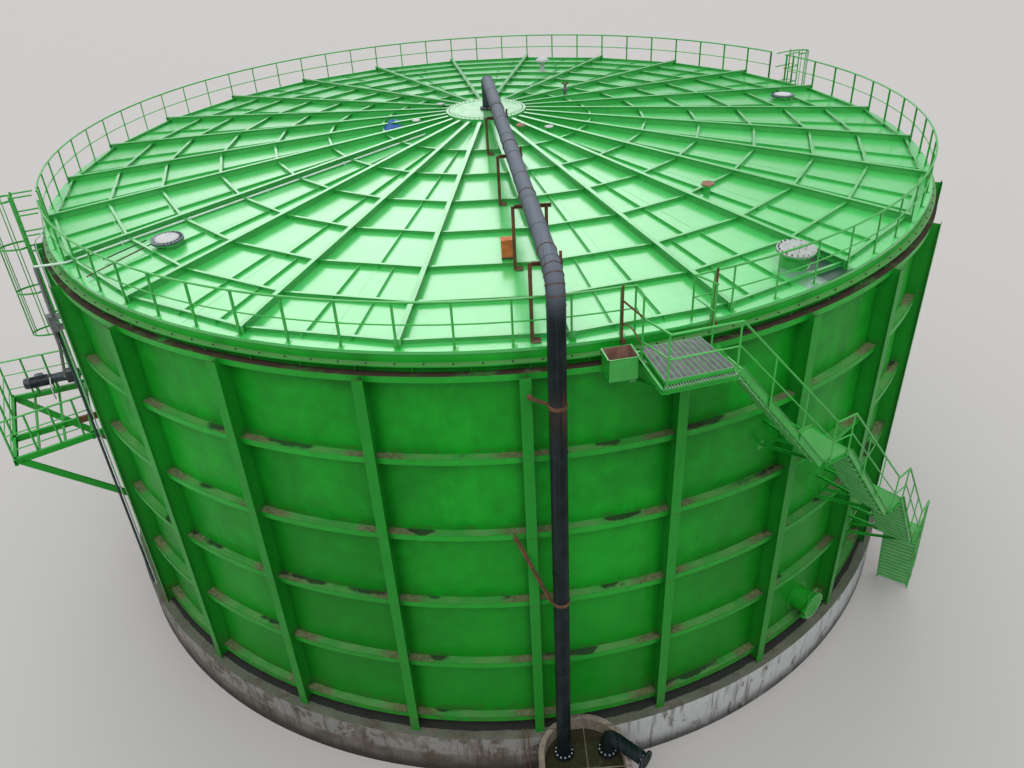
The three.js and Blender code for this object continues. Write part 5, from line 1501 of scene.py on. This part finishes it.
# Radius and distance from the wall, along the mixer's axis
SHAFT_TUBE = [
    (0, 0.0), (0.17, 0.0), (0.17, 0.02), (0.09, 0.03),
    (0.09, 0.60), (0.16, 0.61), (0.16, 0.65), (0, 0.65)]
GEAR_CASE = [
    (0, 0.66), (0.15, 0.66), (0.17, 0.70), (0.17, 0.98), (0.145, 1.03),
    (0.135, 1.36), (0.165, 1.38), (0.165, 1.43), (0, 1.43)]
MOTOR = [
    (0, 1.42), (0.155, 1.42), (0.155, 1.46), (0.142, 1.48), (0.142, 1.94),
    (0.165, 1.96), (0.165, 2.11), (0.13, 2.14), (0, 2.145)]
wall_seat = on_mixer(WALL_RADIUS)
mixer = Shape(motor_blue)
mixer.turned(SHAFT_TUBE, wall_seat, mixer_axis, 32)
bolt_circle(mixer, on_mixer(13.70), mixer_axis, 0.135, 8, 0.02, pale_steel)
mixer.turned(GEAR_CASE, wall_seat, mixer_axis, 32)
mixer.block(MIXER_ANGLE, (-0.15, 0.15), (13.78, 14.02), (MIXER_LEVEL - 0.19, MIXER_LEVEL + 0.17))
mixer.turned(MOTOR, wall_seat, mixer_axis, 32)
rib = Shape().bar(Vector((0, -0.155, 1.48)), Vector((0, -0.155, 1.94)), 0.007, 0.028)
round_steps(mixer, rib, motor_blue, 30, 0, None, wall_seat, mixer_axis)
# The terminal box on the motor and its lid
mixer.block(MIXER_ANGLE, (-0.08, 0.08), (14.62, 14.86), (MIXER_LEVEL + 0.13, MIXER_LEVEL + 0.22))
mixer.block(MIXER_ANGLE, (-0.085, 0.085), (14.66, 14.82), (MIXER_LEVEL + 0.219, MIXER_LEVEL + 0.23))
# The rail under the motor and its two feet
skid_height = (PLATFORM_TOP + 0.0006, PLATFORM_TOP + 0.10)
mixer.use(steel_green).block(MIXER_ANGLE, (-0.06, 0.06), (14.25, 15.10), skid_height)
foot_height = (PLATFORM_TOP + 0.06, MIXER_LEVEL - 0.12)
for radius in (14.36, 14.90):
    mixer.block(MIXER_ANGLE, (-0.09, 0.09), (radius - 0.025, radius + 0.025), foot_height)
LEAD_TURNS = ((0.12, 0.10), (0.30, 0.02), (0.42, -0.14), (0.44, -0.34), (0.40, -0.50))
lead = [on_mixer(14.45) + mixer_side * x + Vector((0, 0, z)) for x, z in LEAD_TURNS]
mixer.use(white_enamel).tube(lead, 0.022, 10)
piece("mixer", mixer, "drive_blue", "mixer_drive")

# %% [markdown]
# ## Caged ladders
# Rungs are spaced 0.3 m apart between two flat stiles, and hoops with upright bars make the cage.
# One rung is repeated upwards; each hoop is a bent flat bar.

# %% Ladders
STILE_HALF = 0.225
RUNG_STEP = 0.3
CAGE_DEEP = 0.70
HOOP_PITCH = 1.5
STRAP_PICKS = (2, 5, 7, 8, 10, 13)


def caged_ladder(name, node, radius, angle, foot, cage_foot, reach):
    shape = Shape(rail_green)
    side = sideways(angle)
    top = DECK_RIM + RAIL_HIGH

    def at(across, outwards, level):
        return polar(radius + outwards, angle, 0) + side * across + Vector((0, 0, level))

    for hand in (-1, 1):
        stile = hand * STILE_HALF
        shape.block(angle, (stile - 0.006, stile + 0.006), (radius - 0.03, radius + 0.03), (foot, top))
    rung = Shape().tube((at(-STILE_HALF, 0, foot + 0.26), at(STILE_HALF, 0, foot + 0.26)), 0.0115, 8)
    line_steps(shape, rung, rail_green, int((top - foot - RUNG_STEP) / RUNG_STEP), (0, 0, RUNG_STEP))
    turns = [math.radians(a) for a in range(0, 181, 12)]
    curve = []
    for t in turns:
        drawn_in = 0.7 if abs(math.sin(t)) < 1e-3 else 1
        curve.append((math.cos(t) * (STILE_HALF + 0.10) * drawn_in, math.sin(t) * CAGE_DEEP))
    hoops = max(2, round((top - 0.1 - cage_foot) / HOOP_PITCH))
    for i in range(hoops + 1):
        level = cage_foot + (top - 0.1 - cage_foot) * i / hoops
        shape.sweep([at(x, y, level) for x, y in curve], rectangle(0.008, 0.05))
    for pick in STRAP_PICKS:
        x, y = (0.985 * c for c in curve[pick])
        shape.tube((at(x, y, cage_foot - 0.03), at(x, y, top - 0.07)), 0.013, 6)
    for level in RING_LEVELS:
        height = PLINTH_TOP + level - 0.07
        if height > foot + 0.3:
            for hand in (-1, 1):
                stile = hand * STILE_HALF
                shape.bar(at(stile, 0, height), at(stile, RING_RADIUS - radius, height), 0.012, 0.05)
    for level in (KERB_TOP - 0.08, *[DECK_RIM + z for z in reach]):
        for hand in (-1, 1):
            across = hand * (STILE_HALF - 0.02)
            shape.bar(at(across, 0, level), at(across, ROOF_RADIUS + 0.03 - radius, level), 0.03, 0.035)
    piece(name, shape, "tank_paint", node)


caged_ladder("ladder_left", "left_caged_ladder", 13.64, -67.3, PLATFORM_TOP + 0.0006, PLATFORM_TOP + 2.3,
             (0.47, 0.96))
caged_ladder("ladder_back", "back_caged_ladder", 13.85, 119.5, 0.0, 2.5, (0.47, 0.96))

# %% [markdown]
# ## Wall manway
# A neck near the ground is closed by a blind cover with bolts all round, so the cover stays shut. A davit
# arm stands over it and two hinge lugs are at its left.

# %% Manway, cover and davit
MANWAY_ANGLE, MANWAY_LEVEL = 38, PLINTH_TOP + 0.95
manway_out = polar(1, MANWAY_ANGLE, 0)
manway_side = sideways(MANWAY_ANGLE)


def by_manway(across, radius, lift):
    return polar(radius, MANWAY_ANGLE, MANWAY_LEVEL + lift) + manway_side * across


neck = Shape(steel_green)
neck_profile = [(0.26, 0), (0.33, 0), (0.33, 0.51), (0.42, 0.51), (0.42, 0.55), (0.26, 0.55)]
neck.turned(neck_profile, by_manway(0, WALL_RADIUS, 0), manway_out, 48)
neck.turned(band(0.329, 0.47, 0.0, 0.012), by_manway(0, WALL_RADIUS - 0.002, 0), manway_out, 48)
DAVIT_TURNS = ((-0.36, 0.24), (-0.36, 0.62), (-0.30, 0.66), (0.05, 0.66))
neck.tube([by_manway(across, 13.60, lift) for across, lift in DAVIT_TURNS], 0.018, 10)
piece("manway_neck", neck, "tank_paint", "wall_manway")

cover = Shape(steel_green)
cover_profile = [(0, 0), (0.42, 0), (0.42, 0.018), (0.30, 0.022), (0, 0.030)]
cover.turned(cover_profile, by_manway(0, 13.6003, 0), manway_out, 48)
bolt_circle(cover, by_manway(0, 13.617, 0), manway_out, 0.375, 20, 0.026, pale_steel, 0.020)
for lift in (-0.10, 0.10):
    hinge_height = (MANWAY_LEVEL + lift - 0.025, MANWAY_LEVEL + lift + 0.025)
    cover.use(steel_green).block(MANWAY_ANGLE, (-0.50, -0.38), (13.55, 13.64), hinge_height)
HANDLE_TURNS = ((-0.10, 13.62), (-0.10, 13.655), (0.10, 13.655), (0.10, 13.62))
cover.tube([by_manway(across, radius, -0.10) for across, radius in HANDLE_TURNS], 0.009, 8)
piece("manway_cover", cover, "tank_paint", "wall_manway_cover")

# %% [markdown]
# ## Plinth and sump
# The plinth is one round cast step with a softly broken edge. The sump is let into it, so its outline
# is cut from the plinth with a Boolean. The sump's own walls are skinned over copies of that outline, up
# the outside, over the top and down the inside. Water stands in it, under a rough frame of angle iron.

# %% Plinth
PLINTH_RADIUS = 13.65
SUMP_LEFT, SUMP_RIGHT, SUMP_FRONT, SUMP_ROUND = 0.35, 2.65, -15.15, -14.20


def sump_outline(inset, sides=32):
    left, right_side = SUMP_LEFT + inset, SUMP_RIGHT - inset
    middle, radius = (left + right_side) / 2, (right_side - left) / 2
    turns = [math.pi * i / sides for i in range(sides + 1)]
    front = [(left, SUMP_FRONT + inset), (right_side, SUMP_FRONT + inset)]
    return front + [(middle + radius * math.cos(t), SUMP_ROUND + radius * math.sin(t)) for t in turns]


plinth = Shape(concrete)
broken_edge = [(PLINTH_RADIUS, 1.372), (13.640, 1.390), (13.622, PLINTH_TOP)]
plinth.turned([(0, 0), (PLINTH_RADIUS, 0), *broken_edge, (0, PLINTH_TOP)], sides=240)
cutter_shape = Shape(concrete).prism(sump_outline(-0.0003), -0.01, 1.5)
cutter = bpy.data.objects.new("cutter", cutter_shape.mesh("cutter"))
plinth_raw = bpy.data.objects.new("plinth_raw", plinth.mesh("plinth_raw"))
for made in (cutter, plinth_raw):
    scene.collection.objects.link(made)
cut = plinth_raw.modifiers.new("sump", "BOOLEAN")
cut.operation, cut.object, cut.solver = "DIFFERENCE", cutter, "EXACT"
plinth_mesh = bpy.data.meshes.new_from_object(plinth_raw.evaluated_get(bpy.context.evaluated_depsgraph_get()))
piece("plinth", Shape(concrete).take(plinth_mesh), "concrete", "foundation_plinth")
for made in (cutter, plinth_raw):
    bpy.data.objects.remove(made)

# %% Sump, its frame and its water
SUMP_TOP, SUMP_FLOOR, WATER = PLINTH_TOP + 0.04, 0.50, 1.02
sump = Shape(sump_concrete)
# How far the wall stands in from the sump's outline, and at what height, over the top to the inside
SUMP_RINGS = (
    (0, 0), (0, SUMP_TOP - 0.015), (0.012, SUMP_TOP),
    (0.138, SUMP_TOP), (0.15, SUMP_TOP - 0.015), (0.15, SUMP_FLOOR))
sump.loft([[Vector((x, y, z)) for x, y in sump_outline(inset)] for inset, z in SUMP_RINGS])
sump.use(sump_bar)
THIN_ANGLE = angle_bar(0.020, 0.020, 0.004)
for y, trim in ((-14.62, 0.02), (-13.45, 0.28)):
    ends = [Vector((x, y, SUMP_TOP + 0.002)) for x in (SUMP_LEFT + trim, SUMP_RIGHT - trim)]
    sump.sweep(ends, THIN_ANGLE)
sump.sweep([Vector((1.55, y, SUMP_TOP + 0.002)) for y in (-15.0, -13.3)], THIN_ANGLE)
piece("sump", sump, "concrete", "pipe_sump")
surface = Shape(still_water)
surface.prism(sump_outline(0.149), WATER - 0.02, WATER)
piece("sump_water", surface, "concrete")

# %% Rods by the sump
rods = Shape(rusted)
for x in (0.03, 0.15):
    rods.tube((Vector((x, -13.72 - x * 0.3, 0.0)), Vector((x - 0.03, -13.74, 1.95))), 0.014, 8)
piece("rods_by_sump", rods, "rusted_steel")

# %% [markdown]
# ## Floor and last numbers
# The floor is not part of the tank, so it is left off the tank's body.

# %% Floor
FLOOR_RADIUS = 420
ground = Shape(pale_floor)
ground.turned(band(0, FLOOR_RADIUS, -0.001, -0.3), sides=96)
floor = bpy.data.objects.new("floor", ground.mesh("floor"))
scene.collection.objects.link(floor)

# %% Sizes and finish
print("pieces:", len(triangles), "triangles in all:", sum(triangles.values()))
